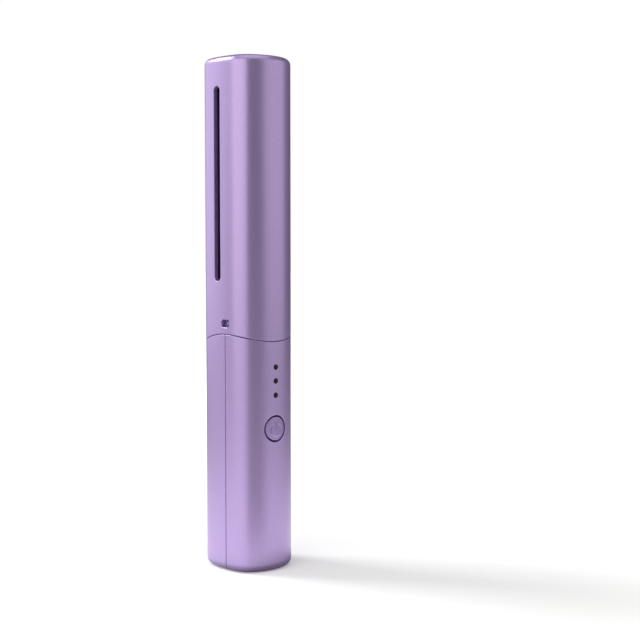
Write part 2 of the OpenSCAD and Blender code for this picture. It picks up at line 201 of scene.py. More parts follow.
class Hole:
    """A round or stadium hole, laid out by distance from its edge. flat(c, z) gives the 2D place in the grid
    and put(c, z, depth) the point in space, with c the coordinate across the hole."""

    def __init__(self, c0, z0, r, half, flat, put, inner, n=10, edge=EDGE, clear=0.75, extra=(), wide=0.0):
        self.c0, self.z0, self.r, self.half = c0, z0, r, half
        self.flat, self.put, self.inner, self.n, self.edge, self.clear = flat, put, inner, n, edge, clear
        self.extra, self.wide = extra, wide

    def dist(self, c, z):
        dz = abs(z - self.z0) - self.half
        dc = abs(c - self.c0) - self.wide
        return hypot(max(dc, 0.0), max(dz, 0.0)) + min(max(dc, dz), 0.0) - self.r

    def near(self, w, z):
        c, zz = self.back(w, z)
        return self.dist(c, zz) < self.clear

    def inside(self, w, z):
        c, zz = self.back(w, z)
        return self.dist(c, zz) < -0.002

    def back(self, w, z):
        return self.unflat(w, z)

    def outline(self, e):
        r, pts = self.r + e, []
        n = self.n
        steps = max(1, int(round(2 * self.half / 3.2))) if self.half > 0 else 0
        across = max(1, int(round(2 * self.wide / 0.5))) if self.wide > 0 else 0
        c0, z0, hc, hz = self.c0, self.z0, self.wide, self.half
        quarters = ((hc, hz, 0.0), (-hc, hz, pi / 2), (-hc, -hz, pi), (hc, -hz, 3 * pi / 2))
        for qn, (oc, oz, a0) in enumerate(quarters):
            for k in range(n):
                t = a0 + pi / 2 * k / n
                pts.append((c0 + oc + r * cos(t), z0 + oz + r * sin(t)))
            nc, nz, _ = quarters[(qn + 1) % 4]
            m = across if qn % 2 == 0 else steps
            t = a0 + pi / 2
            for k in range(m):
                u = k / m
                pts.append((c0 + oc + (nc - oc) * u + r * cos(t), z0 + oz + (nz - oz) * u + r * sin(t)))
        return pts

    def rings(self, skin):
        E = self.edge
        es = [0.0, 0.136 * E, 0.5 * E, E, E + 0.16] + list(self.extra)
        out = []
        for e in es:
            out.append([(skin.v(self.put(c, z, fil(e, E)), self.inner(c, z)), self.flat(c, z)) for c, z in self.outline(e)])
        return out


def build(name, verts, faces, sharp=38):
    me = bpy.data.meshes.new(name)
    me.from_pydata([(x * MM, y * MM, z * MM) for x, y, z in verts], [], faces)
    me.validate(clean_customdata=False)
    me.update()
    for p in me.polygons:
        p.use_smooth = True
    me.set_sharp_from_angle(angle=radians(sharp))
    ob = bpy.data.objects.new(name, me)
    bpy.context.scene.collection.objects.link(ob)
    return ob


def bm_clean(ob, dist=1e-6, sharp=38):
    import bmesh
    bm = bmesh.new()
    bm.from_mesh(ob.data)
    bmesh.ops.remove_doubles(bm, verts=bm.verts, dist=dist)
    bmesh.ops.dissolve_degenerate(bm, dist=dist, edges=bm.edges)
    loose = [v for v in bm.verts if not v.link_faces]
    bmesh.ops.delete(bm, geom=loose, context="VERTS")
    bmesh.ops.triangulate(bm, faces=[f for f in bm.faces if len(f.verts) > 4], ngon_method="EAR_CLIP")
    bmesh.ops.recalc_face_normals(bm, faces=bm.faces)
    bm.to_mesh(ob.data)
    bm.free()
    for p in ob.data.polygons:
        p.use_smooth = True
    ob.data.set_sharp_from_angle(angle=radians(sharp))
    return ob


# points on the flat-ish faces of the section at a given coordinate across
def put_front(x, z, d):
    return x, (RF - B) - sqrt((RF - d) ** 2 - x * x), z


def put_left(y, z, d):
    return (RS - A) - sqrt((RS - d) ** 2 - y * y), y, z


def put_right(y, z, d):
    return (A - RS) + sqrt((RS - d) ** 2 - y * y), y, z


# ------------------------------------------------------------------ handle shells
def arc_top(y, r=PART_R):
    return ARC_Z + sqrt(r * r - (y - SY) ** 2)


def handle_shell(name, front):
    gap = 0.13
    mid = 3 * Q if front else Q
    sgn = 1 if front else -1

    def span(d):
        t = asin((-SY + gap) / (RS - d)) if front else asin((-SY - gap) / (RS - d))
        return Q - RS * t if front else Q + RS * t

    W = span(0.0)

    def place(w, row):
        kind, p = row
        e = W - abs(w)
        de = fil(e)
        if kind == "base":                           # p runs over the base fillet
            c, s_ = cos(p), sin(p)
            d, z = BASE_R - (BASE_R - de) * s_, BASE_R - (BASE_R - de) * c
            di, zi = WALL + 2 * (1 - s_), 2 + 2 * (1 - c)
            x, y = on_section(mid + w * span(d) / W, d)
            xi, yi = on_section(mid + w * span(di) / W, di)
            return (x, y, z), (xi, yi, zi)
        v = p
        dt = fil(PART_Z - v)
        d = max(de, dt) if min(e, PART_Z - v) < EDGE else 0.0
        x, y = on_section(mid + w * span(d) / W, d)
        xi, yi = on_section(mid + w * span(WALL) / W, WALL)
        z0 = 85.6
        def lift(v, y):
            return v if v <= z0 else z0 + (v - z0) * (arc_top(y) - z0) / (PART_Z - z0)
        return (x, y, lift(v, y)), (xi, yi, 4 + (v - 3) * 0.5 if v < 5 else lift(v, yi))

    # columns
    inner_w = W - EDGE_STEPS[-1]
    n = int(round(inner_w / 0.82))
    pos = [inner_w * k / n for k in range(n + 1)] + [W - e for e in reversed(EDGE_STEPS[:-1])]
    ws = [-p for p in reversed(pos[1:])] + pos
    # rows: the 2D height is the real height, with the base fillet below 3
    rows = [("base", t * pi / 2 / 8) for t in range(8)]
    zs2 = [3.0 * (1 - cos(r[1])) - 0.001 for r in rows]
    heights = [3.0, 3.35, 5, 8, 12, 17, 22, 27, 32, 37, 42]
    heights += [48.5 + 1.05 * k for k in range(18)]
    heights += [67.8 + 0.9 * k for k in range(20)]
    heights += [85.6, 87.4, 89.4, 91.4, 93.0] + [PART_Z - e for e in reversed(EDGE_STEPS)]
    rows += [("wall", h) for h in heights]
    zs2 += heights
    back_row = {z: r for z, r in zip(zs2, rows)}
    skin = Skin()
    blocks = []
    if front:
        def mk(z0, r, n, clear, extra):
            h = Hole(0.0, z0, r, 0.0,
                     lambda c, z: (RF * asin(c / RF), z),
                     put_front,
                     lambda c, z: put_front(c, z, WALL), n=n, clear=clear, extra=extra)
            h.unflat = lambda w, z: (RF * sin(w / RF), z)
            return h
        blocks = [
            {"w": (-7.4, 7.4), "z": (49.5, 65.3), "holes": [mk(BUTTON_Z, BUTTON_HOLE_R, 14, 1.35, (0.75,))]},
            {"w": (-3.4, 3.4), "z": (67.8, 84.9), "holes": [mk(z, LED_R + 0.06, 7, 0.75, ()) for z in LED_Z]},
        ]
    idx = skin.lattice(ws, zs2, lambda w, z: place(w, back_row[z]), blocks)
    # flat base inside the first row
    nw = len(ws)
    row0 = [idx[i, 0] for i in range(nw)]
    co = [skin.out[k][:2] for k in row0]
    # seam strips on the base: lines joining the columns near both ends
    left, right = row0[:len(EDGE_STEPS)], row0[-len(EDGE_STEPS):][::-1]
    lines = []
    m = 30
    for k in range(len(EDGE_STEPS)):
        a, b = left[k], right[k]
        pa, pb, ia, ib = skin.out[a], skin.out[b], skin.inn[a], skin.inn[b]
        line = [a]
        for t in range(1, m):
            u = t / m
            o = tuple(pa[c] + (pb[c] - pa[c]) * u for c in range(3))
            i_ = tuple(ia[c] + (ib[c] - ia[c]) * u for c in range(3))
            line.append(skin.v(o, i_))
        line.append(b)
        lines.append(line)
    for k in range(len(EDGE_STEPS) - 1):
        for t in range(m):
            skin.f.append((lines[k][t], lines[k][t + 1], lines[k + 1][t + 1], lines[k + 1][t])[::-1])
    loop = row0[len(EDGE_STEPS) - 1:nw - len(EDGE_STEPS) + 1]
    loop = loop + lines[-1][1:-1][::-1]
    co = [skin.out[k][:2] for k in loop]
    kx = (A - BASE_R - 0.8) / (A - BASE_R)
    inner_pt = lambda x, y: (x * kx, SY + (y - SY) * kx, 2.0)
    holes = []
    if front:
        h = Hole(USB_Y, 0.0, 1.85, 2.95, lambda c, z: (z, c),
                 lambda c, z, d: (z, c, d), lambda c, z: inner_pt(z, c), n=7, edge=0.3, clear=1.0, extra=(0.8,))
        h.unflat = lambda w, z: (z, w)
        holes = [h]
    free = []
    lo_x, hi_x = min(c[0] for c in co), max(c[0] for c in co)
    lo_y, hi_y = min(c[1] for c in co), max(c[1] for c in co)
    def in_loop(px, py):
        inside = False
        for k in range(len(co)):
            x1, y1 = co[k]
            x2, y2 = co[k - 1]
            if (y1 > py) != (y2 > py) and px < (x2 - x1) * (py - y1) / (y2 - y1) + x1:
                inside = not inside
        return inside
    gx = lo_x + 1.0
    while gx < hi_x:
        gy = lo_y + 1.0
        while gy < hi_y:
            if in_loop(gx, gy) and min(hypot(gx - c[0], gy - c[1]) for c in co) > 0.7 and not any(h.near(gx, gy) for h in holes):
                free.append((skin.v((gx, gy, 0.0), inner_pt(gx, gy)), (gx, gy)))
            gy += 1.6
        gx += 1.6
    before = len(skin.f)
    skin.patch(loop, co, free, holes)
    # keep only the faces inside the outline, facing down
    kept = []
    for f in skin.f[before:]:
        cx = sum(skin.out[k][0] for k in f) / len(f)
        cy = sum(skin.out[k][1] for k in f) / len(f)
        if in_loop(cx, cy):
            kept.append(f)
    skin.f[before:] = kept
    ob = skin.mesh(name)
    return bm_clean(ob)


# ------------------------------------------------------------------ cap
def cap_piece(name):
    R2 = PART_R + PART_GAP
    z_hi = 105.6
    z_lo = ARC_Z + R2

    def bottom(y):
        return ARC_Z + sqrt(R2 * R2 - (y - SY) ** 2)

    def lift(v, y):
        return v if v >= z_hi else bottom(y) + (v - z_lo) * (z_hi - bottom(y)) / (z_hi - z_lo)

    def drop(z, y):
        return z if z >= z_hi else z_lo + (z - bottom(y)) * (z_hi - z_lo) / (z_hi - bottom(y))

    ws, k = [], 0
    cells = [(L1, 7), (L2, 12), (L3, 11)]
    s = 0.0
    for q in range(4):
        for length, n in (cells if q % 2 == 0 else cells[::-1]):
            for k in range(n):
                ws.append(s + length * k / n)
            s += length
    heights = [z_lo + e for e in EDGE_STEPS] + [96.0, 96.8, 97.6, 98.4, 99.2, 100.0, 100.8, 101.6, 102.4, 103.8, 105.6, 108, 110]
    heights += [112.2 + 2.0 * k for k in range(43)] + [199.0, 201.0, 201.4]
    heights = sorted(set(round(h, 4) for h in heights))
    rows = [("wall", h) for h in heights]
    zs2 = list(heights)
    fr = 2.8
    top_rows = []
    for t in range(0, 10):
        a = radians(80) * t / 9
        top_rows.append((fr * (1 - cos(a)), TOP - 0.5 - fr + fr * sin(a), a))
    d0, h0 = top_rows[-1][0], top_rows[-1][1]
    slope = math.tan(radians(10))
    run = (TOP - h0) * 2 / slope
    for t in range(1, 9):
        q = run * t / 8
        top_rows.append((d0 + q, h0 + slope * q - slope * q * q / (2 * run), pi / 2))
    for n, r in enumerate(top_rows):
        rows.append(("top", r))
        zs2.append(202.0 + n)
    back_row = {z: r for z, r in zip(zs2, rows)}

    def place(w, z):
        kind, p = back_row[z]
        if kind == "wall":
            d = fil(p - z_lo)
            x, y = on_section(w, d)
            xi, yi = on_section(w, CAP_WALL)
            return (x, y, lift(p, y)), (xi, yi, lift(p, yi))
        d, zz, a = p
        x, y = on_section(w, d)
        ri = 1.4
        if a < pi / 2:
            a2 = a / radians(80) * pi / 2
            di, zi = CAP_WALL + ri * (1 - cos(a2)), TOP - 2 - ri + ri * sin(a2)
        else:
            di, zi = CAP_WALL + ri + (d - d0) * 0.9, TOP - 2
        xi, yi = on_section(w, min(di, 9.4))
        return (x, y, zz), (xi, yi, zi)

    skin = Skin()

    def side(c0, z0, r, half, put, w_mid, way, n, clear, extra=(), wide=0.0, edge=0.3):
        h = Hole(c0, z0, r, half,
                 lambda c, z: (w_mid + way * RS * asin(c / RS), drop(z, c)),
                 put, lambda c, z: put(c, z, CAP_WALL), n=n, edge=edge, clear=clear, extra=extra, wide=wide)
        def unflat(w, v):
            c = RS * sin((w - w_mid) * way / RS)
            return c, lift(v, c)
        h.unflat = unflat
        return h

    # snap hole on +X: w runs through 0 there, so the grid is turned to start at +Y's far side
    shift = len(ws) // 4
    ws = ws[shift:] + [w + 4 * Q for w in ws[:shift]]
    slot_mid, slot_half = (SLOT[1] + SLOT[2]) / 2, (SLOT[2] - SLOT[1] - SLOT[0]) / 2
    left_w, right_w = 2 * Q, 4 * Q
    blocks = [
        {"w": (left_w - 5.3, left_w + 5.3), "z": (112.2, 196.2),
         "holes": [side(SLOT_Y, slot_mid, SLOT[0] / 2, slot_half, put_left, left_w, -1, 8, 0.9, (0.75,))]},
        {"w": (left_w - 0.1, left_w + 7.3), "z": (96.0, 102.4),
         "holes": [side(SY, SNAP_Z, SNAP_C, SNAP_H - SNAP_C, put_left, left_w, -1, 5, 0.85, (), SNAP_W - SNAP_C, 0.4)]},
        {"w": (right_w - 7.3, right_w + 0.1), "z": (96.0, 102.4),
         "holes": [side(SY, SNAP_Z, SNAP_C, SNAP_H - SNAP_C, put_right, right_w, 1, 5, 0.85, (), SNAP_W - SNAP_C, 0.4)]},
    ]
    idx = skin.lattice(ws, zs2, place, blocks, periodic=True)
    last = len(zs2) - 1
    loop = [idx[i, last] for i in range(len(ws))]
    co = [skin.out[k][:2] for k in loop]
    free = []
    gx = -8.0
    while gx <= 8.0:
        gy = -9.0
        while gy <= 9.0:
            ok = min(hypot(gx - c[0], gy - c[1]) for c in co) > 0.6
            ins = False
            for k in range(len(co)):
                x1, y1 = co[k]
                x2, y2 = co[k - 1]
                if (y1 > gy) != (y2 > gy) and gx < (x2 - x1) * (gy - y1) / (y2 - y1) + x1:
                    ins = not ins
            if ok and ins:
                free.append((skin.v((gx, gy, TOP), (gx, gy, TOP - 2)), (gx, gy)))
            gy += 1.2
        gx += 1.2
    skin.patch(loop, co, free, [])
    return bm_clean(skin.mesh(name))


# ------------------------------------------------------------------ power button
def button_piece(name):
    """A round button whose face follows the handle, with a shallow generic power mark pressed into it."""
    import bmesh
    r, sink, wall_y = BUTTON_R, 0.06, -12.5
    rings = [(0.0, 0)]
    verts, faces = [], []
    n = 180
    e_steps = [0.0, 0.136, 0.5, 1.0, 1.5]
    mark_r, mark_w, mark_z = 2.65, 0.22, -0.65

    def mark(x, z):
        """Depth of the pressed line at a place on the face."""
        d = 9.0
        z -= mark_z
        a = atan2(z, x)
        gap_half = radians(32)
        off = abs((a - pi / 2 + pi) % (2 * pi) - pi)
        if off > gap_half:
            d = min(d, abs(hypot(x, z) - mark_r))
        else:
            for s_ in (-1, 1):
                ang = pi / 2 + s_ * gap_half
                d = min(d, hypot(x - mark_r * cos(ang), z - mark_r * sin(ang)))
        zc = min(max(z, 0.3), 3.7)
        d = min(d, hypot(x, z - zc))
        t = (mark_w + 0.17 - d) / 0.34
        t = min(max(t, 0.0), 1.0)
        return 0.14 * t * t * (3 - 2 * t)

    radii = []
    q = 0.0
    while q < 3.78:
        radii.append(q)
        q += 0.09
    radii += [3.9, 4.1]
    edge = 0.3
    radii += [r - edge - 0.15] + [r - edge * k for k in (1.0, 0.5, 0.136, 0.0)]
    loops = []
    for rad in radii:
        if rad == 0.0:
            verts.append((0.0, (RF - B) - (RF - sink) + mark(0, 0), BUTTON_Z))
            loops.append([0])
            continue
        loop = []
        for k in range(n):
            t = 2 * pi * k / n
            x, z = rad * cos(t), rad * sin(t)
            d = sink + fil(r - rad, edge) + mark(x, z)
            loop.append(len(verts))
            verts.append((x, (RF - B) - sqrt((RF - d) ** 2 - x * x), z + BUTTON_Z))
        loops.append(loop)
    for rad, y in ((r, -13.4), (r + 0.1, -13.2), (6.0, -13.2), (6.0, wall_y), (3.0, wall_y), (2.6, wall_y - 0.2), (0.0, wall_y - 0.2)):
        if rad == 0.0:
            loops.append([len(verts)])
            verts.append((0.0, y, BUTTON_Z))
            continue
        loop = []
        for k in range(n):
            t = 2 * pi * k / n
            loop.append(len(verts))
            verts.append((rad * cos(t), y, BUTTON_Z + rad * sin(t)))
        loops.append(loop)
    for a, b in zip(loops, loops[1:]):
        for k in range(n):
            k2 = (k + 1) % n
            if len(a) == 1:
                faces.append((a[0], b[k], b[k2]))
            elif len(b) == 1:
                faces.append((a[k], b[0], a[k2]))
            else:
                faces.append((a[k], b[k], b[k2], a[k2]))
    return bm_clean(build(name, verts, faces), dist=1e-7, sharp=60)


# ------------------------------------------------------------------ indicator windows
def window_piece(name):
    """Three smoked windows joined by the strip behind the wall."""
    verts, faces = [], []
    n = 32
    for z0 in LED_Z:
        loops = []
        for e in (0.0, 0.02, 0.075, 0.15, 0.3, 0.6):
            rad = LED_R - e
            loop = []
            for k in range(n):
                t = 2 * pi * k / n
                x, z = rad * cos(t), rad * sin(t)
                d = 0.08 + fil(e, 0.15) - 0.03 * (1 - (rad / LED_R) ** 2)
                loop.append(len(verts))
                verts.append((x, (RF - B) - sqrt((RF - d) ** 2 - x * x), z + z0))
            loops.append(loop)
        loops.append([len(verts)])
        verts.append((0.0, (RF - B) - (RF - 0.05), z0))
        back = []
        for k in range(n):
            t = 2 * pi * k / n
            back.append(len(verts))
            verts.append((LED_R * cos(t), -12.0, LED_R * sin(t) + z0))
        loops = [[len(verts)], back] + loops
        verts.append((0.0, -12.0, z0))
        for a, b in zip(loops, loops[1:]):
            for k in range(n):
                k2 = (k + 1) % n
                if len(a) == 1:
                    faces.append((a[0], b[k], b[k2]))
                elif len(b) == 1:
                    faces.append((a[k], b[0], a[k2]))
                else:
                    faces.append((a[k], b[k], b[k2], a[k2]))
    x0, x1, y0, y1, z0, z1 = -1.6, 1.6, -12.9, -12.0, LED_Z[2] - 1.4, LED_Z[0] + 1.6
    c = 0.25
    ring = [(x0 + c, z0), (x1 - c, z0), (x1, z0 + c), (x1, z1 - c), (x1 - c, z1), (x0 + c, z1), (x0, z1 - c), (x0, z0 + c)]
    k0 = len(verts)
    verts += [(x, y0, z) for x, z in ring] + [(x, y1, z) for x, z in ring]
    m = len(ring)
    faces.append(tuple(k0 + k for k in range(m)))
    faces.append(tuple(k0 + m + k for k in reversed(range(m))))
    for k in range(m):
        k2 = (k + 1) % m
        faces.append((k0 + k, k0 + m + k, k0 + m + k2, k0 + k2))
    return bm_clean(build(name, verts, faces), dist=1e-8)


# ------------------------------------------------------------------ materials
def srgb(r, g, b):
    f = lambda c: c / 255 / 12.92 if c / 255 <= 0.04045 else ((c / 255 + 0.055) / 1.055) ** 2.4
    return f(r), f(g), f(b), 1.0


def material(name, c1, c2, scale, rough, rough_var=0.06, bump=0.0, bump_scale=600.0, metallic=0.0, coat=0.0,
             coat_rough=0.1, detail=3.0, aniso=None, spec=None, ramp=(0.35, 0.65), stretch=None):
    m = bpy.data.materials.new(name)
    m.use_nodes = True
    nt = m.node_tree
    b = nt.nodes["Principled BSDF"]
    tc = nt.nodes.new("ShaderNodeTexCoord")
    mp = nt.nodes.new("ShaderNodeMapping")
    nt.links.new(tc.outputs["Object"], mp.inputs["Vector"])
    if stretch:
        mp.inputs["Scale"].default_value = stretch
    n1 = nt.nodes.new("ShaderNodeTexNoise")
    n1.inputs["Scale"].default_value = scale
    n1.inputs["Detail"].default_value = detail
    nt.links.new(mp.outputs["Vector"], n1.inputs["Vector"])
    cr = nt.nodes.new("ShaderNodeValToRGB")
    cr.color_ramp.elements[0].position, cr.color_ramp.elements[1].position = ramp
    cr.color_ramp.elements[0].color, cr.color_ramp.elements[1].color = c1, c2
    nt.links.new(n1.outputs["Fac"], cr.inputs["Fac"])
    nt.links.new(cr.outputs["Color"], b.inputs["Base Color"])
    n2 = nt.nodes.new("ShaderNodeTexNoise")
    n2.inputs["Scale"].default_value = scale * 0.37
    n2.inputs["Detail"].default_value = 4.0
    nt.links.new(mp.outputs["Vector"], n2.inputs["Vector"])
    mr = nt.nodes.new("ShaderNodeMapRange")
    mr.inputs["From Min"].default_value, mr.inputs["From Max"].default_value = 0.3, 0.7
    mr.inputs["To Min"].default_value = max(rough - rough_var, 0.02)
    mr.inputs["To Max"].default_value = rough + rough_var
    nt.links.new(n2.outputs["Fac"], mr.inputs["Value"])
    nt.links.new(mr.outputs["Result"], b.inputs["Roughness"])
    if bump > 0:
        n3 = nt.nodes.new("ShaderNodeTexNoise")
        n3.inputs["Scale"].default_value = bump_scale
        n3.inputs["Detail"].default_value = 2.0
        nt.links.new(mp.outputs["Vector"], n3.inputs["Vector"])
        bp = nt.nodes.new("ShaderNodeBump")
        bp.inputs["Strength"].default_value = 1.0
        bp.inputs["Distance"].default_value = bump
        nt.links.new(n3.outputs["Fac"], bp.inputs["Height"])
        nt.links.new(bp.outputs["Normal"], b.inputs["Normal"])
    b.inputs["Metallic"].default_value = metallic
    b.inputs["Coat Weight"].default_value = coat
    b.inputs["Coat Roughness"].default_value = coat_rough
    if spec is not None:
        b.inputs["Specular IOR Level"].default_value = spec
    return m


LILAC_A, LILAC_B = srgb(174, 151, 202), srgb(182, 159, 209)
M = {
    "lilac": material("satin_lilac_lacquer", LILAC_A, LILAC_B, 2600.0, 0.36, 0.03, bump=0.0000022, bump_scale=5200.0,
                      metallic=0.7, coat=0.2, coat_rough=0.2, detail=4.0),
    "button": material("satin_lilac_button", srgb(164, 141, 193), srgb(172, 149, 200), 2600.0, 0.3, 0.03, bump=0.0000018,
                       bump_scale=5200.0, metallic=0.7, coat=0.25, coat_rough=0.16, detail=4.0),
    "black": material("black_enamel", srgb(9, 10, 9), srgb(20, 21, 19), 900.0, 0.42, 0.08, bump=0.000004, bump_scale=1800.0, spec=0.3),
    "plastic": material("dark_moulded_plastic", srgb(38, 38, 41), srgb(50, 50, 54), 1400.0, 0.55, 0.08, bump=0.00001, bump_scale=2600.0),
    "smoke": material("smoked_window", srgb(16, 8, 20), srgb(28, 18, 34), 1200.0, 0.3, 0.04, spec=0.25),
    "ceramic": material("ceramic_white", srgb(222, 214, 198), srgb(236, 230, 216), 700.0, 0.55, 0.1, bump=0.00001, bump_scale=1500.0),
    "film": material("amber_film", srgb(176, 112, 36), srgb(204, 140, 56), 500.0, 0.22, 0.06),
    "metal": material("nickel_metal", srgb(178, 180, 184), srgb(205, 206, 208), 1500.0, 0.24, 0.08, bump=0.000004,
                      bump_scale=2500.0, metallic=1.0, stretch=(1, 1, 0.15)),
    "wire": material("wire_jacket", srgb(214, 212, 206), srgb(230, 228, 222), 1200.0, 0.42, 0.06, bump=0.000006, bump_scale=2200.0),
    "sleeve": material("cell_sleeve", srgb(34, 96, 156), srgb(52, 118, 180), 500.0, 0.3, 0.06),
    "foam": material("dark_foam", srgb(34, 34, 36), srgb(66, 66, 68), 2600.0, 0.85, 0.08, bump=0.00006, bump_scale=2600.0),
    "board": material("board_green", srgb(14, 78, 44), srgb(24, 100, 58), 700.0, 0.36, 0.06, bump=0.000006, bump_scale=1300.0),
    "led": material("led_white", srgb(236, 234, 222), srgb(250, 248, 238), 900.0, 0.3, 0.05),
}


def dress(ob, mat):
    ob.data.materials.clear()
    ob.data.materials.append(M[mat])
    for p in ob.data.polygons:
        p.material_index = 0


# ------------------------------------------------------------------ pieces
SLOTS = {
    "front_shell": "satin_lilac", "rear_shell": "satin_lilac", "cap_shell": "satin_lilac", "power_button": "satin_lilac",
    "light_pipe": "smoked_window",
}


def add(ob, node, body, mat):
    dress(ob, mat)
    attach(ob, body)
    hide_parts(node)
    return ob


add(handle_shell("handle_front", True), "front_shell", "handle", "lilac")
add(handle_shell("handle_rear", False), "rear_shell", "handle", "lilac")
add(cap_piece("vented_cap"), "cap_shell", "cap", "lilac")
add(button_piece("round_button"), "power_button", "power_button", "button")
add(window_piece("indicator_windows"), "light_pipe", "handle", "smoke")

# ------------------------------------------------------------------ comb shells and heated comb
import numpy as np

COMB_TOP, TIP_X, SPINE_X = 198.8, 12.2, 11.6
PITCH, GAP_Z0, GAPS = 5.157, 116.7, 15
FACE, HOLLOW = 4.7, 2.6               # distances of the outer face and of the hollow from the seam plane
COLLAR_D = 2.35
NECK_Z, NECK_TOP = 98.0, 105.0
X_L, X_R = -7.2, 11.6


def dome_points(n=46):
    out = []
    for i in range(n + 1):
        x = SPINE_X - (TIP_X + SPINE_X) * (0.5 - 0.5 * cos(pi * i / n))
        x0 = 2.6
        z = COMB_TOP - (5.2 * ((x - x0) / (SPINE_X - x0)) ** 2.6 if x > x0 else 7.4 * ((x0 - x) / (x0 + TIP_X)) ** 2.3)
        out.append((x, z))
    return out


DOME = dome_points()
OUTER = None


def line_dist(px, pz, line):
    """Distance of many points to a polyline."""
    p = np.stack([px, pz], 1)[:, None, :]
    a, b = line[None, :-1, :], line[None, 1:, :]
    d = b - a
    t = np.clip(((p - a) * d).sum(2) / np.maximum((d * d).sum(2), 1e-12), 0, 1)
    q = a + t[..., None] * d
    return np.sqrt(((p - q) ** 2).sum(2)).min(1)


def smooth(t):
    t = min(max(t, 0.0), 1.0)
    return t * t * (3 - 2 * t)


def half_gap(x):
    return 1.1 + 0.7 * (9.2 - x) / (9.2 + TIP_X + 1)


def rounded(corners, step):
    """Dense closed outline of (x, z, inward normal x, z, tag) from corners (x, z, radius, tag), anticlockwise."""
    n = len(corners)
    out = []
    ends = []
    for i, c in enumerate(corners):
        p0, p1, p2 = corners[i - 1], c, corners[(i + 1) % n]
        d1 = Vector((p1[0] - p0[0], p1[1] - p0[1]))
        d2 = Vector((p2[0] - p1[0], p2[1] - p1[1]))
        l1, l2 = d1.length, d2.length
        d1, d2 = d1 / l1, d2 / l2
        turn = atan2(d1.x * d2.y - d1.y * d2.x, d1.dot(d2))
        r = c[2]
        pts = []
        if r > 0 and abs(turn) > 0.02:
            cut = min(r * abs(math.tan(turn / 2)), l1 * 0.49, l2 * 0.49)
            r = cut / abs(math.tan(turn / 2))
            sgn = 1 if turn > 0 else -1
            a0 = Vector((p1[0], p1[1])) - d1 * cut
            nrm = Vector((-d1.y, d1.x)) * sgn
            ctr = a0 + nrm * r
            m = max(3, int(math.ceil(abs(turn) / radians(14))))
            base_a = atan2(-nrm.y, -nrm.x)
            for k in range(m + 1):
                a = base_a + turn * k / m
                inward = Vector((-cos(a), -sin(a))) * sgn
                pts.append((ctr.x + r * cos(a), ctr.y + r * sin(a), inward.x, inward.y, c[3] if k == 0 else None))
        else:
            b = Vector((-(d1.y + d2.y), d1.x + d2.x)).normalized()
            k = 1 / max(cos(turn / 2), 0.3)
            pts.append((p1[0], p1[1], b.x * k, b.y * k, c[3]))
        ends.append((pts, d2))
    for i in range(n):
        pts, d2 = ends[i]
        out += pts
        nxt = ends[(i + 1) % n][0][0]
        last = pts[-1]
        length = hypot(nxt[0] - last[0], nxt[1] - last[1])
        st = step(0.5 * (nxt[0] + last[0]), 0.5 * (nxt[1] + last[1]))
        m = max(1, int(round(length / st)))
        for k in range(1, m):
            u = k / m
            out.append((last[0] + (nxt[0] - last[0]) * u, last[1] + (nxt[1] - last[1]) * u, -d2.y, d2.x, None))
    return out


def inside_mask(px, pz, poly):
    ins = np.zeros(len(px), bool)
    x1, z1 = poly[:, 0], poly[:, 1]
    x2, z2 = np.roll(x1, 1), np.roll(z1, 1)
    for k in range(len(x1)):
        if z1[k] == z2[k]:
            continue
        c = ((z1[k] > pz) != (z2[k] > pz)) & (px < (x2[k] - x1[k]) * (pz - z1[k]) / (z2[k] - z1[k]) + x1[k])
        ins ^= c
    return ins


def fill(ids, co, free=()):
    """Triangles inside the closed loop ids, whose 2D places are co, using the free (id, place) points too."""
    n = len(ids)
    pts = [Vector(c) for c in co] + [Vector(c) for i, c in free]
    all_ids = list(ids) + [i for i, c in free]
    edges = [(k, (k + 1) % n) for k in range(n)]
    vo, _, fo, orig, _, _ = delaunay_2d_cdt(pts, edges, [], 0, 1e-6)
    if not fo:
        return []
    cx = np.array([sum(vo[k][0] for k in f) / len(f) for f in fo])
    cz = np.array([sum(vo[k][1] for k in f) / len(f) for f in fo])
    ins = inside_mask(cx, cz, np.array(co))
    out = []
    for f, ok in zip(fo, ins):
        if ok and all(orig[k] for k in f):
            q = tuple(all_ids[orig[k][0]] for k in f)
            if len(set(q)) == 3:
                out.append(q)
    return out


def free_grid(loop_co, xs, zs, gap):
    gx, gz = [a.ravel() for a in np.meshgrid(np.array(xs), np.array(zs))]
    poly = np.array(loop_co)
    ok = inside_mask(gx, gz, poly)
    gx, gz = gx[ok], gz[ok]
    if len(gx) == 0:
        return []
    closed = np.vstack([poly, poly[:1]])
    keep = np.ones(len(gx), bool)
    for k in range(0, len(gx), 400):
        keep[k:k + 400] = line_dist(gx[k:k + 400], gz[k:k + 400], closed) > gap
    return [(float(a), float(b)) for a, b in zip(gx[keep], gz[keep])]


def tip_drop(x, z):
    """The teeth step down a little and then thin out towards their ends."""
    if x > -6.3:
        return 0.0
    k = 1.0 - 0.55 * smooth((z - 188.5) / 3.0)
    return k * (0.62 * smooth((-6.3 - x) / 2.1) + max(0.0, -8.2 - x) * 0.105)


def scoop(x, z):
    """Depth of the finger recess in the neck face."""
    if z > 111 or x > 7.6:
        return 0.0
    rho = ((max(x + 7.0, 0.0) / 14.4) ** 2.4 + (max(z - 102.0, 0.0) / 8.6) ** 2.4) ** (1 / 2.4)
    return 1.5 * smooth((1 - rho) * 11.0 / 2.5)


def neck_round(x, z):
    """Extra rounding of the neck towards its open side."""
    k = smooth((110.4 - z) / 3.0)
    t = x - X_L
    w = 3.4
    return 0.0 if t >= w or k <= 0 else k * 1.15 * (1 - sqrt(max(1 - ((w - t) / w) ** 2, 0.0)))


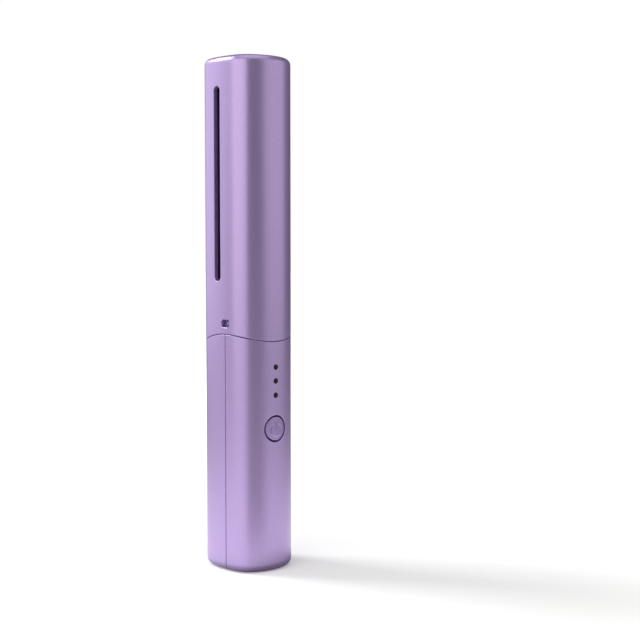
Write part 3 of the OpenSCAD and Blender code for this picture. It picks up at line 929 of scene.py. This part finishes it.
def face_drop(xs, zs):
    """How far the outer face lies below its highest plane, for arrays of places."""
    t = line_dist(xs, zs, OUTER)
    out = np.zeros(len(xs))
    for i in range(len(xs)):
        x, z = float(xs[i]), float(zs[i])
        up = smooth((z - 184.0) / 8.0)
        k = smooth((6.0 - x) / 12.0) * up
        w, dp = 1.5 + 1.3 * k, 1.5 + 0.35 * k
        d = 0.0
        if t[i] < w:
            d += dp * (1 - sqrt(max(1 - ((w - t[i]) / w) ** 2, 0.0)))
        d += 0.14 * k * math.exp(-((t[i] - w - 0.1) / 0.26) ** 2)
        d += tip_drop(x, z) + scoop(x, z) + neck_round(x, z)
        out[i] = d
    return out


def softened(pts, step):
    """A polyline cut into even steps, with its corners eased."""
    out = []
    for (x0, z0), (x1, z1) in zip(pts, pts[1:]):
        m = max(1, int(round(hypot(x1 - x0, z1 - z0) / 0.05)))
        out += [(x0 + (x1 - x0) * k / m, z0 + (z1 - z0) * k / m) for k in range(m)]
    out.append(pts[-1])
    a = np.array(out)
    d = np.concatenate([[0], np.cumsum(np.hypot(*np.diff(a, axis=0).T))])
    n = int(round(d[-1] / step))
    u = np.linspace(0, d[-1], n + 1)
    p = np.stack([np.interp(u, d, a[:, 0]), np.interp(u, d, a[:, 1])], 1)
    for turn in range(26):
        q = p.copy()
        q[1:-1] = 0.25 * p[:-2] + 0.5 * p[1:-1] + 0.25 * p[2:]
        far = (p[:, 0] > 5.0) if turn >= 5 else np.ones(len(p), bool)
        p[far] = q[far]
    return [(float(x), float(z)) for x, z in p]


def comb_plan(front):
    """Corners of one shell seen from the side, with marks where its wall changes depth."""
    zc = [GAP_Z0 + (k + 0.5) * PITCH for k in range(GAPS - 1)] if front else [GAP_Z0 + k * PITCH for k in range(GAPS)]
    top = zc[-1]
    c = [(X_R, NECK_Z, 0.95, "spine")]
    edge = [(X_R, 190.0)] + DOME + [(-TIP_X, top + half_gap(-TIP_X)), (-8.9, top + half_gap(-8.9))]
    run = softened(edge, 0.34)
    low = min(range(len(run)), key=lambda k: abs(run[k][0] + TIP_X) + abs(run[k][1] - DOME[-1][1]))
    c += [(x, z, 0.0, "tip" if k == low else None) for k, (x, z) in enumerate(run[:-1])]
    c += [(run[-1][0], run[-1][1], 0.0, "T1")]
    for n, z in enumerate(reversed(zc)):
        last = n == len(zc) - 1
        c += [(-6.2, z + half_gap(-6.2), 0.0, None)] if True else []
        c += [(10.3, z + 1.08, 0.72, None), (10.3, z - 1.08, 0.72, None)]
        c += [(-6.2, z - half_gap(-6.2), 0.0, None)]
        if not last:
            nz = list(reversed(zc))[n + 1]
            c += [(-TIP_X, z - half_gap(-TIP_X), 0.72, None), (-TIP_X, nz + half_gap(-TIP_X), 0.72, None)]
    z = zc[0]
    c += [(-8.9, z - half_gap(-8.9), 0.0, "T2"), (-TIP_X, z - half_gap(-TIP_X), 0.95, None)]
    c += [(-TIP_X, 111.0, 1.4, None), (-8.2, 110.3, 1.3, None), (X_L, 107.6, 1.6, None), (X_L, NECK_Z, 0.95, "foot")]
    c += [(-5.4, NECK_Z, 0.0, "T4"), (9.4, NECK_Z, 0.0, "T3")]
    return c


def comb_shell(name, front):
    sg = -1.0 if front else 1.0
    seam = SY + sg * 0.03
    face = FACE * 1.0
    corners = comb_plan(front)
    global OUTER
    tip_i = [c[3] for c in corners].index("tip")
    OUTER = np.array([(SPINE_X, 90.0 + 1.5 * k) for k in range(66)] + [(c[0], c[1]) for c in corners[1:tip_i + 1]])

    def step(x, z):
        if x < -6.2:
            return 0.42 if z > 113 else 0.7
        return 0.9 if z < 112 else 2.0

    out = rounded(corners, step)
    n = len(out)
    tag = {o[4]: i for i, o in enumerate(out) if o[4]}
    i_tip, t1, t2, t4, t3 = tag["tip"], tag["T1"], tag["T2"], tag["T4"], tag["T3"]
    small, large = [0.0, 0.035, 0.13, 0.26, 0.42], [0.0, 0.06, 0.22, 0.46, 0.76]
    # blend between the small edge in the gaps and the wide one along spine and dome
    k_wide = [0.0] * n
    for i in range(n):
        if i <= i_tip:
            k_wide[i] = 1.0
    verts = []
    y_of = lambda d: SY + sg * (face - d)
    ring_xz = []
    for lev in range(5):
        pts = []
        for i, (x, z, nx, nz, _) in enumerate(out):
            if k_wide[i] > 0:
                e = large[lev]
                if i_tip - 9 <= i <= i_tip:
                    e = small[lev] + (large[lev] - small[lev]) * (i_tip - i) / 9.0
            else:
                f = 1.0 + 0.6 * smooth((-6.6 - x) / 1.8)
                if i < t1 + 2:
                    f = 1.0
                if z < 112 or (i > t2 and z < 114):
                    f = 1.9
                e = small[lev] * f
            pts.append((x + nx * e, z + nz * e, e))
        ring_xz.append(pts)
    ring_id = []
    drops = []
    for lev in range(5):
        xs = np.array([p[0] for p in ring_xz[lev]])
        zs = np.array([p[1] for p in ring_xz[lev]])
        dr = face_drop(xs, zs)
        ids = []
        for i in range(n):
            x, z, nx, nz, _ = out[i]
            loc = 0.0
            if k_wide[i] == 0:
                f = 1.0 + 0.6 * smooth((-6.6 - x) / 1.8)
                if i < t1 + 2:
                    f = 1.0
                if z < 112 or (i > t2 and z < 114):
                    f = 1.9
                loc = fil(ring_xz[lev][i][2], 0.26 * f)
            elif i_tip - 9 <= i <= i_tip:
                loc = fil(ring_xz[lev][i][2], 0.26) * (1 - (i_tip - i) / 9.0)
            d = float(dr[i]) + loc
            ids.append(len(verts))
            verts.append((ring_xz[lev][i][0], y_of(d), ring_xz[lev][i][1]))
            if lev == 0:
                drops.append(d)
        ring_id.append(ids)
    faces = []
    for lev in range(4):
        a, b = ring_id[lev], ring_id[lev + 1]
        for i in range(n):
            j = (i + 1) % n
            faces.append((a[i], a[j], b[j], b[i]))
    # the face inside the last ring
    loop_co = [(p[0], p[1]) for p in ring_xz[4]]
    free = free_grid(loop_co, np.arange(-12.0, 11.0, 0.5), np.arange(187.4, 198.6, 0.5), 0.3)
    free += free_grid(loop_co, np.arange(-12.0, 11.0, 0.5), np.arange(98.4, 117.4, 0.5), 0.3)
    free += free_grid(loop_co, [9.7, 10.1, 10.48], np.arange(118.0, 187.2, 0.52), 0.16)
    fx = np.array([p[0] for p in free])
    fz = np.array([p[1] for p in free])
    fd = np.concatenate([face_drop(fx[k:k + 500], fz[k:k + 500]) for k in range(0, len(fx), 500)])
    fr = []
    for (x, z), d in zip(free, fd):
        fr.append((len(verts), (x, z)))
        verts.append((x, y_of(float(d)), z))
    faces += fill(ring_id[4], loop_co, fr)
    # walls
    deep = lambda i: t1 <= i < t2 or t4 <= i < t3      # the segment after vertex i stops at the hollow
    hold, hol, s1, s2, s3 = {}, {}, {}, {}, {}
    for i in range(n):
        x, z, nx, nz, _ = out[i]
        d = drops[i]
        hold[i] = len(verts)
        verts.append((x, y_of(d + 0.12), z))
        if deep(i) or deep((i - 1) % n):
            hol[i] = len(verts)
            verts.append((x, SY + sg * HOLLOW, z))
        if not deep(i) or not deep((i - 1) % n):
            s1[i] = len(verts)
            verts.append((x, seam + sg * 0.22, z))
            s2[i] = len(verts)
            verts.append((x + nx * 0.05, seam + sg * 0.07, z + nz * 0.05))
            s3[i] = len(verts)
            verts.append((x + nx * 0.2, seam, z + nz * 0.2))
    for i in range(n):
        j = (i + 1) % n
        faces.append((ring_id[0][j], ring_id[0][i], hold[i], hold[j]))
        if deep(i):
            faces.append((hold[j], hold[i], hol[i], hol[j]))
        else:
            a = [hold[j], hold[i]]
            if i in hol:
                a.append(hol[i])
            a += [s1[i], s1[j]]
            if j in hol:
                a.append(hol[j])
            faces.append(tuple(a))
            faces.append((s1[j], s1[i], s2[i], s2[j]))
            faces.append((s2[j], s2[i], s3[i], s3[j]))
    # lines of the hollow's own walls
    ha = [(-8.9, 192.4), (9.6, 192.4), (9.6, 109.6), (9.4, 109.6)]
    hb = [(-5.4, 109.6), (-8.9, 109.6)]

    def wall_line(start, pts, end):
        top = [hol[start]]
        low = [s3[start]]
        for x, z in pts:
            top.append(len(verts))
            verts.append((x, SY + sg * HOLLOW, z))
            low.append(len(verts))
            verts.append((x, seam, z))
        top.append(hol[end])
        low.append(s3[end])
        for k in range(len(top) - 1):
            f = [top[k], top[k + 1]]
            if k + 1 == len(top) - 1:
                f += [s1[end], s2[end]]
            f.append(low[k + 1])
            f.append(low[k])
            if k == 0:
                f += [s2[start], s1[start]]
            faces.append(tuple(f))
        return top, low

    top_a, low_a = wall_line(t1, ha, t3)
    top_b, low_b = wall_line(t4, hb, t2)
    # hollow plane: outline T1..T2, then back along b to T4, outline T4..T3, back along a to T1
    loop = [hol[i] for i in range(t1, t2 + 1)] + top_b[::-1][1:-1] + [hol[i] for i in range(t4, t3 + 1)] + top_a[::-1][1:-1]
    faces.append(tuple(loop[::-1]))
    # the two faces on the seam plane
    loop = [s3[i] for i in range(t2, t4 + 1)] + low_b[1:-1]
    faces.append(tuple(loop[::-1]))
    loop = [s3[i % n] for i in range(t3, n + t1 + 1)] + low_a[1:-1]
    faces.append(tuple(loop[::-1]))
    return verts, faces


def neck_profile(z):
    """Half section of the neck as polar radii about a middle point, for joining the shoulder to it."""
    pts = []
    r_s = 1.5
    m = 14
    for k in range(24):
        pts.append((X_R, 0.0 + (FACE - r_s) * k / 24))
    xs = [X_R - r_s * (1 - cos(pi / 2 * k / m)) for k in range(m + 1)] + [X_R - r_s - (X_R - r_s - X_L) * k / 80 for k in range(1, 81)]
    dr = face_drop(np.array(xs), np.array([z] * len(xs)))
    for x, d in zip(xs, dr):
        lo = 0.0
        if x < X_L + 0.5:
            lo = fil(x - X_L, 0.5)
        pts.append((x, FACE - float(d) - lo))
    y_end = pts[-1][1]
    for k in range(1, 17):
        pts.append((X_L, y_end * (1 - k / 16)))
    cx = 2.2
    th = [atan2(max(y, 0.0), x - cx) for x, y in pts]
    rr = [hypot(x - cx, y) for x, y in pts]
    order = sorted(range(len(pts)), key=lambda k: th[k])
    return cx, [th[k] for k in order], [rr[k] for k in order]


def collar_half(front):
    """Collar, arched shoulder and the flare up to the neck, as one closed half."""
    sg = -1.0 if front else 1.0
    gap = 0.03
    off = -SY + gap if front else -SY - gap
    mid = 3 * Q if front else Q

    def span(d):
        t = asin(off / (RS - d))
        return Q - RS * t if front else Q + RS * t

    W = span(COLLAR_D)
    TOPZ = 101.4
    BOT = 83.4
    cx, th, rr = neck_profile(NECK_TOP - 0.8)
    th, rr = np.array(th), np.array(rr)
    arc = lambda y: (TOPZ - PART_R) + sqrt(PART_R ** 2 - (y - SY) ** 2)
    s_f = [(0.0, 0.0), (0.05, 0.15), (0.29, 0.35), (0.62, 0.52), (0.88, 0.655), (0.988, 0.80), (1.0, 1.0)]

    def s_curve(u):
        """Smooth run through the points above."""
        k = min(int(u * 6), 5)
        t = u * 6 - k
        p = [s_f[max(k - 1, 0)], s_f[k], s_f[k + 1], s_f[min(k + 2, 6)]]
        q = []
        for c in (0, 1):
            a, b, d, e = p[0][c], p[1][c], p[2][c], p[3][c]
            q.append(0.5 * (2 * b + (d - a) * t + (2 * a - 5 * b + 4 * d - e) * t * t + (3 * b - a - 3 * d + e) * t ** 3))
        return q[0], q[1]

    def bump(y, z, x):
        r = hypot(y - SY, z - SNAP_Z)
        b = 0.8 * smooth((1.08 - r) / 0.62) - 0.85 * smooth((r - 0.92) / 0.36) * smooth((2.2 - r) / 0.42)
        if not front and abs(x) < 4:
            b = 0.27 * smooth((1.12 - abs(x)) / 0.2) * smooth((z - 87.6) / 0.3) * smooth((95.4 - z) / 0.3)
        return b

    def place(w, row):
        kind, p = row
        e = W - abs(w)
        de = fil(e)
        x0, y0 = on_section(mid + w * span(COLLAR_D) / W, COLLAR_D)
        zt = arc(y0)
        xi, yi = on_section(mid + w * span(4.05) / W, 4.05)
        if kind == "wall":
            z = BOT + (p - BOT) * (zt - BOT) / (TOPZ - BOT)
            dt = fil(TOPZ - p, 0.45)
            db = fil(p - BOT, 0.3)
            b = bump(y0, z, x0)
            d = COLLAR_D + max(de, dt, db) - b
            x, y = on_section(mid + w * span(d) / W, d)
            zi = min(z, 92.0) if p < 92 else 92.0 + (z - 92.0) * 0.5
            return (x, y, z), (xi, yi, zi)
        f, g = s_curve(p)
        d0 = COLLAR_D + 0.45 + 0.0
        xs_, ys_ = on_section(mid + w * span(d0) / W, d0)
        a = atan2(max(sg * (ys_ - SY), 0.0), xs_ - cx)
        r1 = hypot(xs_ - cx, ys_ - SY)
        r2 = float(np.interp(a, th, rr)) - 0.04
        r = r1 + (r2 - r1) * f - de
        z = zt + (NECK_TOP - zt) * g
        x, y = cx + r * cos(a), SY + sg * r * sin(a)
        if abs(abs(w) - W) < 1e-6:
            y = SY + sg * gap
        ri = hypot(xi - cx, yi - SY)
        ai = a
        r3 = max(r2 - 1.6, 1.0)
        rin = ri + (r3 - ri) * min(f * 1.1, 1.0)
        x2, y2 = cx + rin * cos(ai), SY + sg * rin * sin(ai)
        if abs(abs(w) - W) < 1e-6:
            y2 = SY + sg * gap
        z2 = min(z - 1.4, 92.0 + (z - 92.0) * 0.5 + 4.0 * f)
        return (x, y, z), (x2, y2, z2)

    inner_w = W - 0.42
    pos = [0.0]
    fine = [0.9, 1.0, 1.1, 1.2]
    x = 0.0
    marks = [0.45] + fine
    pos = [0.0] + marks
    rest = inner_w - 1.2
    k_n = int(round((rest - 2.2) / 0.85))
    pos += [1.2 + (rest - 2.2) * k / k_n for k in range(1, k_n + 1)]
    pos += [inner_w - 2.2 + 2.2 * k / 20 for k in range(1, 21)]
    pos += [W - e for e in reversed(EDGE_STEPS[:-1])]
    ws = [-q for q in reversed(pos[1:])] + pos
    rows = [("wall", BOT + e) for e in (0.0, 0.04, 0.15, 0.3, 0.6)]
    rows += [("wall", z) for z in (85.2, 86.4, 87.6, 88.6, 88.75, 88.9, 89.05, 90.2, 91.6, 92.8, 94.0, 95.2, 96.2)]
    rows += [("wall", 96.9 + 0.12 * k) for k in range(33)]
    rows += [("wall", TOPZ - e) for e in (0.45, 0.225, 0.06, 0.0)]
    rows += [("flare", u / 22) for u in range(1, 23)]
    keys = list(range(len(rows)))
    skin = Skin()
    skin.lattice(ws, [float(k) for k in keys], lambda w, k: place(w, rows[int(k)]), [])
    return skin


def root_tabs(verts, faces, front):
    """The small blocks at the gap roots that hold the heated comb in the middle."""
    sg = -1.0 if front else 1.0
    zc = [GAP_Z0 + (k + 0.5) * PITCH for k in range(GAPS - 1)] if front else [GAP_Z0 + k * PITCH for k in range(GAPS)]
    prof = [(-0.5, -0.3), (-0.3, -0.45), (0.3, -0.45), (0.5, -0.3), (0.5, 0.3), (0.36, 0.42), (0.2, 0.45), (-0.2, 0.45), (-0.36, 0.42), (-0.5, 0.3)]
    for z in zc:
        loops = []
        for x, k in ((10.8, 1.0), (7.25, 1.0), (7.02, 0.93), (6.87, 0.8), (6.8, 0.6)):
            loop = []
            for pz, py in prof:
                loop.append(len(verts))
                verts.append((x, SY + sg * (2.68 + py * k), z + pz * k))
            loops.append(loop)
        m = len(prof)
        for a, b in zip(loops, loops[1:]):
            for i in range(m):
                j = (i + 1) % m
                faces.append((a[i], a[j], b[j], b[i]))
        faces.append(tuple(loops[0][::-1]))
        faces.append(tuple(loops[-1]))


def two_part(name, verts, faces, skin):
    """One object from the comb body and the collar half."""
    n0 = len(verts)
    n = len(skin.out)
    verts = list(verts) + list(skin.out) + list(skin.inn)
    faces = list(faces)
    fs = [tuple(f) for f in skin.f] + [tuple(k + n for k in reversed(f)) for f in skin.f]
    count = {}
    for f in skin.f:
        for k in range(len(f)):
            a, b = f[k], f[(k + 1) % len(f)]
            key = (a, b) if a < b else (b, a)
            count[key] = count.get(key, 0) + 1
    for (a, b), times in count.items():
        if times == 1:
            fs.append((b, a, a + n, b + n))
    faces += [tuple(k + n0 for k in f) for f in fs]
    return bm_clean(build(name, verts, faces), dist=1e-7)


def heated_comb(name):
    """The black heated comb between the shells: a plate with fins that reach between the teeth."""
    c = [(9.2, 110.0, 0.5, None), (9.2, 192.0, 0.5, None), (-4.6, 192.0, 0.5, None)]
    for k in range(GAPS - 1, 0, -1):
        z = GAP_Z0 + (k - 0.5) * PITCH + 0.5
        c += [(-4.6, z + 2.15, 0.25, None), (-9.6, z + 0.75, 0.74, None), (-9.6, z - 0.75, 0.74, None), (-4.6, z - 2.15, 0.25, None)]
    c += [(-4.6, 110.0, 0.5, None)]
    out = rounded(c, lambda x, z: 1.2 if x < -4.7 else 2.5)
    n = len(out)
    offs = [0.0, 0.05, 0.17, 0.32, 0.44]
    half = 2.2
    verts, faces = [], []

    def drop(x):
        return 0.28 * smooth((x - 5.0) / 0.3) + 0.35 * smooth((-5.2 - x) / 3.5)

    for sg in (-1, 1):
        rings = []
        for e in offs:
            ids = []
            for x, z, nx, nz, _ in out:
                ids.append(len(verts))
                verts.append((x + nx * e, SY + sg * (half - fil(e, 0.32) - drop(x + nx * e)), z + nz * e))
            rings.append(ids)
        for a, b in zip(rings, rings[1:]):
            for i in range(n):
                j = (i + 1) % n
                faces.append((a[i], a[j], b[j], b[i]) if sg > 0 else (a[j], a[i], b[i], b[j]))
        co = [(verts[k][0], verts[k][2]) for k in rings[-1]]
        free = free_grid(co, [4.2, 4.7, 4.92, 5.0, 5.1, 5.2, 5.3, 5.5, 6.2], np.arange(111.0, 191.4, 1.2), 0.15)
        fr = []
        for x, z in free:
            fr.append((len(verts), (x, z)))
            verts.append((x, SY + sg * (half - drop(x)), z))
        fs = fill(rings[-1], co, fr)
        faces += fs if sg > 0 else [f[::-1] for f in fs]
        if sg < 0:
            first = rings[0]
        else:
            for i in range(n):
                j = (i + 1) % n
                faces.append((first[i], first[j], rings[0][j], rings[0][i]))
    return bm_clean(build(name, verts, faces), dist=1e-7)


for comb_name, comb_node, is_front in (("comb_shell_front", "comb_front_shell", True), ("comb_shell_rear", "comb_rear_shell", False)):
    cv, cf = comb_shell(comb_name, is_front)
    root_tabs(cv, cf, is_front)
    add(two_part(comb_name, cv, cf, collar_half(is_front)), comb_node, "handle", "lilac")
add(heated_comb("heated_black_comb"), "heating_comb", "handle", "black")

CAD_MATS = {
    "inner_frame": "plastic",
    "ptc_heater": "ceramic", "heater_insulation": "film", "thermistor": "ceramic", "thermal_fuse": "metal",
    "heater_leads": "wire", "neck_insulator": "ceramic", "battery_cell": "metal", "battery_sleeve": "sleeve",
    "battery_washers": "film", "nickel_tabs": "metal", "battery_leads": "wire", "battery_pad": "foam",
    "main_board": "board", "board_components": "plastic", "tact_switch": "plastic", "tact_plunger": "plastic",
    "indicator_leds": "led", "usb_port_shell": "metal", "usb_port_tongue": "plastic", "board_screws": "metal",
    "comb_screws": "metal",
}
for node_name, mat_name in CAD_MATS.items():
    dress(NODES[node_name], mat_name)

# ------------------------------------------------------------------ floor with painted glow and painted shade, lights, world
# The floor glows: reflections in the part see a painted glow, strongest near the object, with painted shade laid in
# front of it and at its foot.
PAINTED_GLOW_NEAR, PAINTED_GLOW_FAR, SEEN_FLOOR_GLOW = 1.05, 0.02, 0.18
WORLD = 0.13
import bmesh
bm = bmesh.new()
bmesh.ops.create_circle(bm, cap_ends=True, radius=4.0, segments=96)
floor_me = bpy.data.meshes.new("floor")
bm.to_mesh(floor_me)
bm.free()
floor = bpy.data.objects.new("floor", floor_me)
bpy.context.scene.collection.objects.link(floor)
floor.location.z = -0.00004
fm = bpy.data.materials.new("floor_painted_glow_and_shade")
fm.use_nodes = True
ft = fm.node_tree
fb = ft.nodes["Principled BSDF"]
fb.inputs["Base Color"].default_value = (0.92, 0.92, 0.92, 1)
fb.inputs["Roughness"].default_value = 0.9
fb.inputs["Specular IOR Level"].default_value = 0.0
fb.inputs["Emission Color"].default_value = (1, 1, 1, 1)
# fd is the floor as reflections and bounced light see it: dark grey with a painted glow, which puts painted reflections
# on the housing.
fd = ft.nodes.new("ShaderNodeBsdfPrincipled")
fd.inputs["Base Color"].default_value = (0.3, 0.3, 0.3, 1)
fd.inputs["Roughness"].default_value = 0.9
fd.inputs["Specular IOR Level"].default_value = 0.0
fd.inputs["Emission Color"].default_value = (1, 1, 1, 1)
fd.inputs["Emission Strength"].default_value = 0.3
fx = ft.nodes.new("ShaderNodeMixShader")
fl = ft.nodes.new("ShaderNodeLightPath")
fc = ft.nodes.new("ShaderNodeTexCoord")
fv = ft.nodes.new("ShaderNodeVectorMath")
fv.operation = "LENGTH"
# Painted glow, strong close to the object and weak far off, measured from a point set off to one side of it.
painted_glow_ramp = ft.nodes.new("ShaderNodeMapRange")
painted_glow_ramp.interpolation_type = "SMOOTHSTEP"
painted_glow_ramp.inputs["From Min"].default_value, painted_glow_ramp.inputs["From Max"].default_value = 0.05, 0.44
painted_glow_ramp.inputs["To Min"].default_value, painted_glow_ramp.inputs["To Max"].default_value = PAINTED_GLOW_NEAR, PAINTED_GLOW_FAR
fs = ft.nodes.new("ShaderNodeVectorMath")
fs.operation = "ADD"
fs.inputs[1].default_value = (0.06, 0.04, 0.0)
ft.links.new(fc.outputs["Object"], fs.inputs[0])
ft.links.new(fs.outputs["Vector"], fv.inputs[0])
ft.links.new(fv.outputs["Value"], painted_glow_ramp.inputs["Value"])
# painted shade in the reflections: the glow is dimmed in front of the object, which lays a dark reflected band on the
# housing
fdot = ft.nodes.new("ShaderNodeVectorMath")
fdot.operation = "DOT_PRODUCT"
fdot.inputs[1].default_value = (-0.399, -0.917, 0.0)
flen = ft.nodes.new("ShaderNodeVectorMath")
flen.operation = "LENGTH"
fdiv = ft.nodes.new("ShaderNodeMath")
fdiv.operation = "DIVIDE"
painted_front_shade = ft.nodes.new("ShaderNodeMapRange")
painted_front_shade.interpolation_type = "SMOOTHSTEP"
painted_front_shade.inputs["From Min"].default_value, painted_front_shade.inputs["From Max"].default_value = 0.8, 0.985
painted_front_shade.inputs["To Min"].default_value, painted_front_shade.inputs["To Max"].default_value = 1.0, 0.08
fmul = ft.nodes.new("ShaderNodeMath")
fmul.operation = "MULTIPLY"
ft.links.new(fc.outputs["Object"], fdot.inputs[0])
ft.links.new(fc.outputs["Object"], flen.inputs[0])
ft.links.new(fdot.outputs["Value"], fdiv.inputs[0])
ft.links.new(flen.outputs["Value"], fdiv.inputs[1])
ft.links.new(fdiv.outputs["Value"], painted_front_shade.inputs["Value"])
fsub = ft.nodes.new("ShaderNodeMath")
fsub.operation = "SUBTRACT"
fsub.inputs[1].default_value = 1.0
# the painted front shade fades in with distance, so it is weak right next to the foot
fnear = ft.nodes.new("ShaderNodeMapRange")
fnear.interpolation_type = "SMOOTHSTEP"
fnear.inputs["From Min"].default_value, fnear.inputs["From Max"].default_value = 0.04, 0.125
fma = ft.nodes.new("ShaderNodeMath")
fma.operation = "MULTIPLY_ADD"
fma.inputs[2].default_value = 1.0
ft.links.new(painted_front_shade.outputs["Result"], fsub.inputs[0])
ft.links.new(flen.outputs["Value"], fnear.inputs["Value"])
ft.links.new(fsub.outputs["Value"], fma.inputs[0])
ft.links.new(fnear.outputs["Result"], fma.inputs[1])
ft.links.new(fma.outputs["Value"], fmul.inputs[0])
# and painted contact shade: the glow is cut by position close to the object's foot, as if the object shaded the floor
# there
fsh = ft.nodes.new("ShaderNodeVectorMath")
fsh.operation = "ADD"
fsh.inputs[1].default_value = (-0.006, 0.006, 0.0)
fsl = ft.nodes.new("ShaderNodeVectorMath")
fsl.operation = "LENGTH"
painted_contact_shade = ft.nodes.new("ShaderNodeMapRange")
painted_contact_shade.interpolation_type = "SMOOTHSTEP"
painted_contact_shade.inputs["From Min"].default_value, painted_contact_shade.inputs["From Max"].default_value = 0.016, 0.038
painted_contact_shade.inputs["To Min"].default_value, painted_contact_shade.inputs["To Max"].default_value = 0.05, 1.0
fmu2 = ft.nodes.new("ShaderNodeMath")
fmu2.operation = "MULTIPLY"
ft.links.new(fc.outputs["Object"], fsh.inputs[0])
ft.links.new(fsh.outputs["Vector"], fsl.inputs[0])
ft.links.new(fsl.outputs["Value"], painted_contact_shade.inputs["Value"])
ft.links.new(fmul.outputs["Value"], fmu2.inputs[0])
ft.links.new(painted_contact_shade.outputs["Result"], fmu2.inputs[1])
ft.links.new(painted_glow_ramp.outputs["Result"], fmul.inputs[1])
ft.links.new(fmu2.outputs["Value"], fd.inputs["Emission Strength"])
# the floor as the camera sees it glows too: weakly near the object, so the cast shadow of the lamps shows, and fully
# white far off
seen_floor_glow_ramp = ft.nodes.new("ShaderNodeMapRange")
seen_floor_glow_ramp.interpolation_type = "SMOOTHSTEP"
seen_floor_glow_ramp.inputs["From Min"].default_value, seen_floor_glow_ramp.inputs["From Max"].default_value = 0.12, 0.45
seen_floor_glow_ramp.inputs["To Min"].default_value, seen_floor_glow_ramp.inputs["To Max"].default_value = SEEN_FLOOR_GLOW, 1.0
ft.links.new(fv.outputs["Value"], seen_floor_glow_ramp.inputs["Value"])
ft.links.new(seen_floor_glow_ramp.outputs["Result"], fb.inputs["Emission Strength"])
# camera rays see the glowing white floor, all other rays the floor with the painted glow and shade
ft.links.new(fl.outputs["Is Camera Ray"], fx.inputs["Fac"])
ft.links.new(fd.outputs["BSDF"], fx.inputs[1])
ft.links.new(fb.outputs["BSDF"], fx.inputs[2])
ft.links.new(fx.outputs["Shader"], ft.nodes["Material Output"].inputs["Surface"])
floor_me.materials.append(fm)

world = bpy.data.worlds.new("studio")
bpy.context.scene.world = world
world.use_nodes = True
wn = world.node_tree
for n in list(wn.nodes):
    wn.nodes.remove(n)
wo = wn.nodes.new("ShaderNodeOutputWorld")
mix = wn.nodes.new("ShaderNodeMixShader")
lp = wn.nodes.new("ShaderNodeLightPath")
bg_cam = wn.nodes.new("ShaderNodeBackground")
bg_cam.inputs["Color"].default_value = (1, 1, 1, 1)
bg_cam.inputs["Strength"].default_value = 1.0
bg = wn.nodes.new("ShaderNodeBackground")
bg.inputs["Color"].default_value = (1, 1, 1, 1)
bg.inputs["Strength"].default_value = WORLD
wn.links.new(lp.outputs["Is Camera Ray"], mix.inputs["Fac"])
wn.links.new(bg.outputs["Background"], mix.inputs[1])
wn.links.new(bg_cam.outputs["Background"], mix.inputs[2])
wn.links.new(mix.outputs["Shader"], wo.inputs["Surface"])

VIEW_AZ = -39.5


def area(name, rel_az, dist, height, w, h, power, aim_z=0.1, tint=(1.0, 1.0, 1.0)):
    """A soft box placed by its azimuth relative to the camera, positive to the camera's right."""
    a = radians(VIEW_AZ + rel_az)
    d = bpy.data.lights.new(name, "AREA")
    d.shape = "RECTANGLE"
    d.size, d.size_y = w, h
    d.energy = power
    d.color = tint
    o = bpy.data.objects.new(name, d)
    bpy.context.scene.collection.objects.link(o)
    o.location = (dist * sin(a), -dist * cos(a), height)
    o.rotation_mode = "QUATERNION"
    o.rotation_quaternion = (Vector((0, 0, aim_z)) - Vector(o.location)).to_track_quat("-Z", "Y")
    return o


area("key_left", -43, 0.9, 0.3, 1.31, 0.95, 6.2, tint=(1.0, 0.99, 0.93))
area("fill_right", 78, 0.9, 0.3, 1.22, 0.95, 3.25, tint=(1.0, 0.99, 0.97))
area("back_left", -118, 0.95, 0.34, 1.1, 0.95, 3.8, tint=(0.95, 0.96, 1.0))
area("high_left", -112, 0.74, 0.78, 0.3, 0.3, 4.8, aim_z=0.16)
area("top", 20, 0.2, 1.1, 1.2, 1.2, 4.6)

# ------------------------------------------------------------------ camera
cam_d = bpy.data.cameras.new("camera")
cam = bpy.data.objects.new("camera", cam_d)
bpy.context.scene.collection.objects.link(cam)
cam_d.sensor_width = 36.0
FOCAL_PX, AXIS_PX = 1300.0, 248.2
cam_d.lens = FOCAL_PX / 640.0 * 36.0
CAM_H, CAM_TILT, CAM_DIST = 134.8, 3.8, 526.5
az = radians(VIEW_AZ)
away = Vector((sin(az), -cos(az), 0.0))
right = Vector((cos(az), sin(az), 0.0))
# the camera is turned a little, so that the object stands left of the middle of the frame
turn = math.atan((320.0 - AXIS_PX) / FOCAL_PX)
cam.location = (away * CAM_DIST + Vector((0, 0, CAM_H))) * MM
t = radians(CAM_TILT)
flat_look = right * sin(turn) - away * cos(turn)
look = Vector((flat_look.x * cos(t), flat_look.y * cos(t), -sin(t)))
cam.rotation_mode = "QUATERNION"
cam.rotation_quaternion = look.to_track_quat("-Z", "Y")
cam_d.clip_start, cam_d.clip_end = 0.01, 20.0
bpy.context.scene.camera = cam
bpy.context.scene.view_settings.view_transform = "Standard"
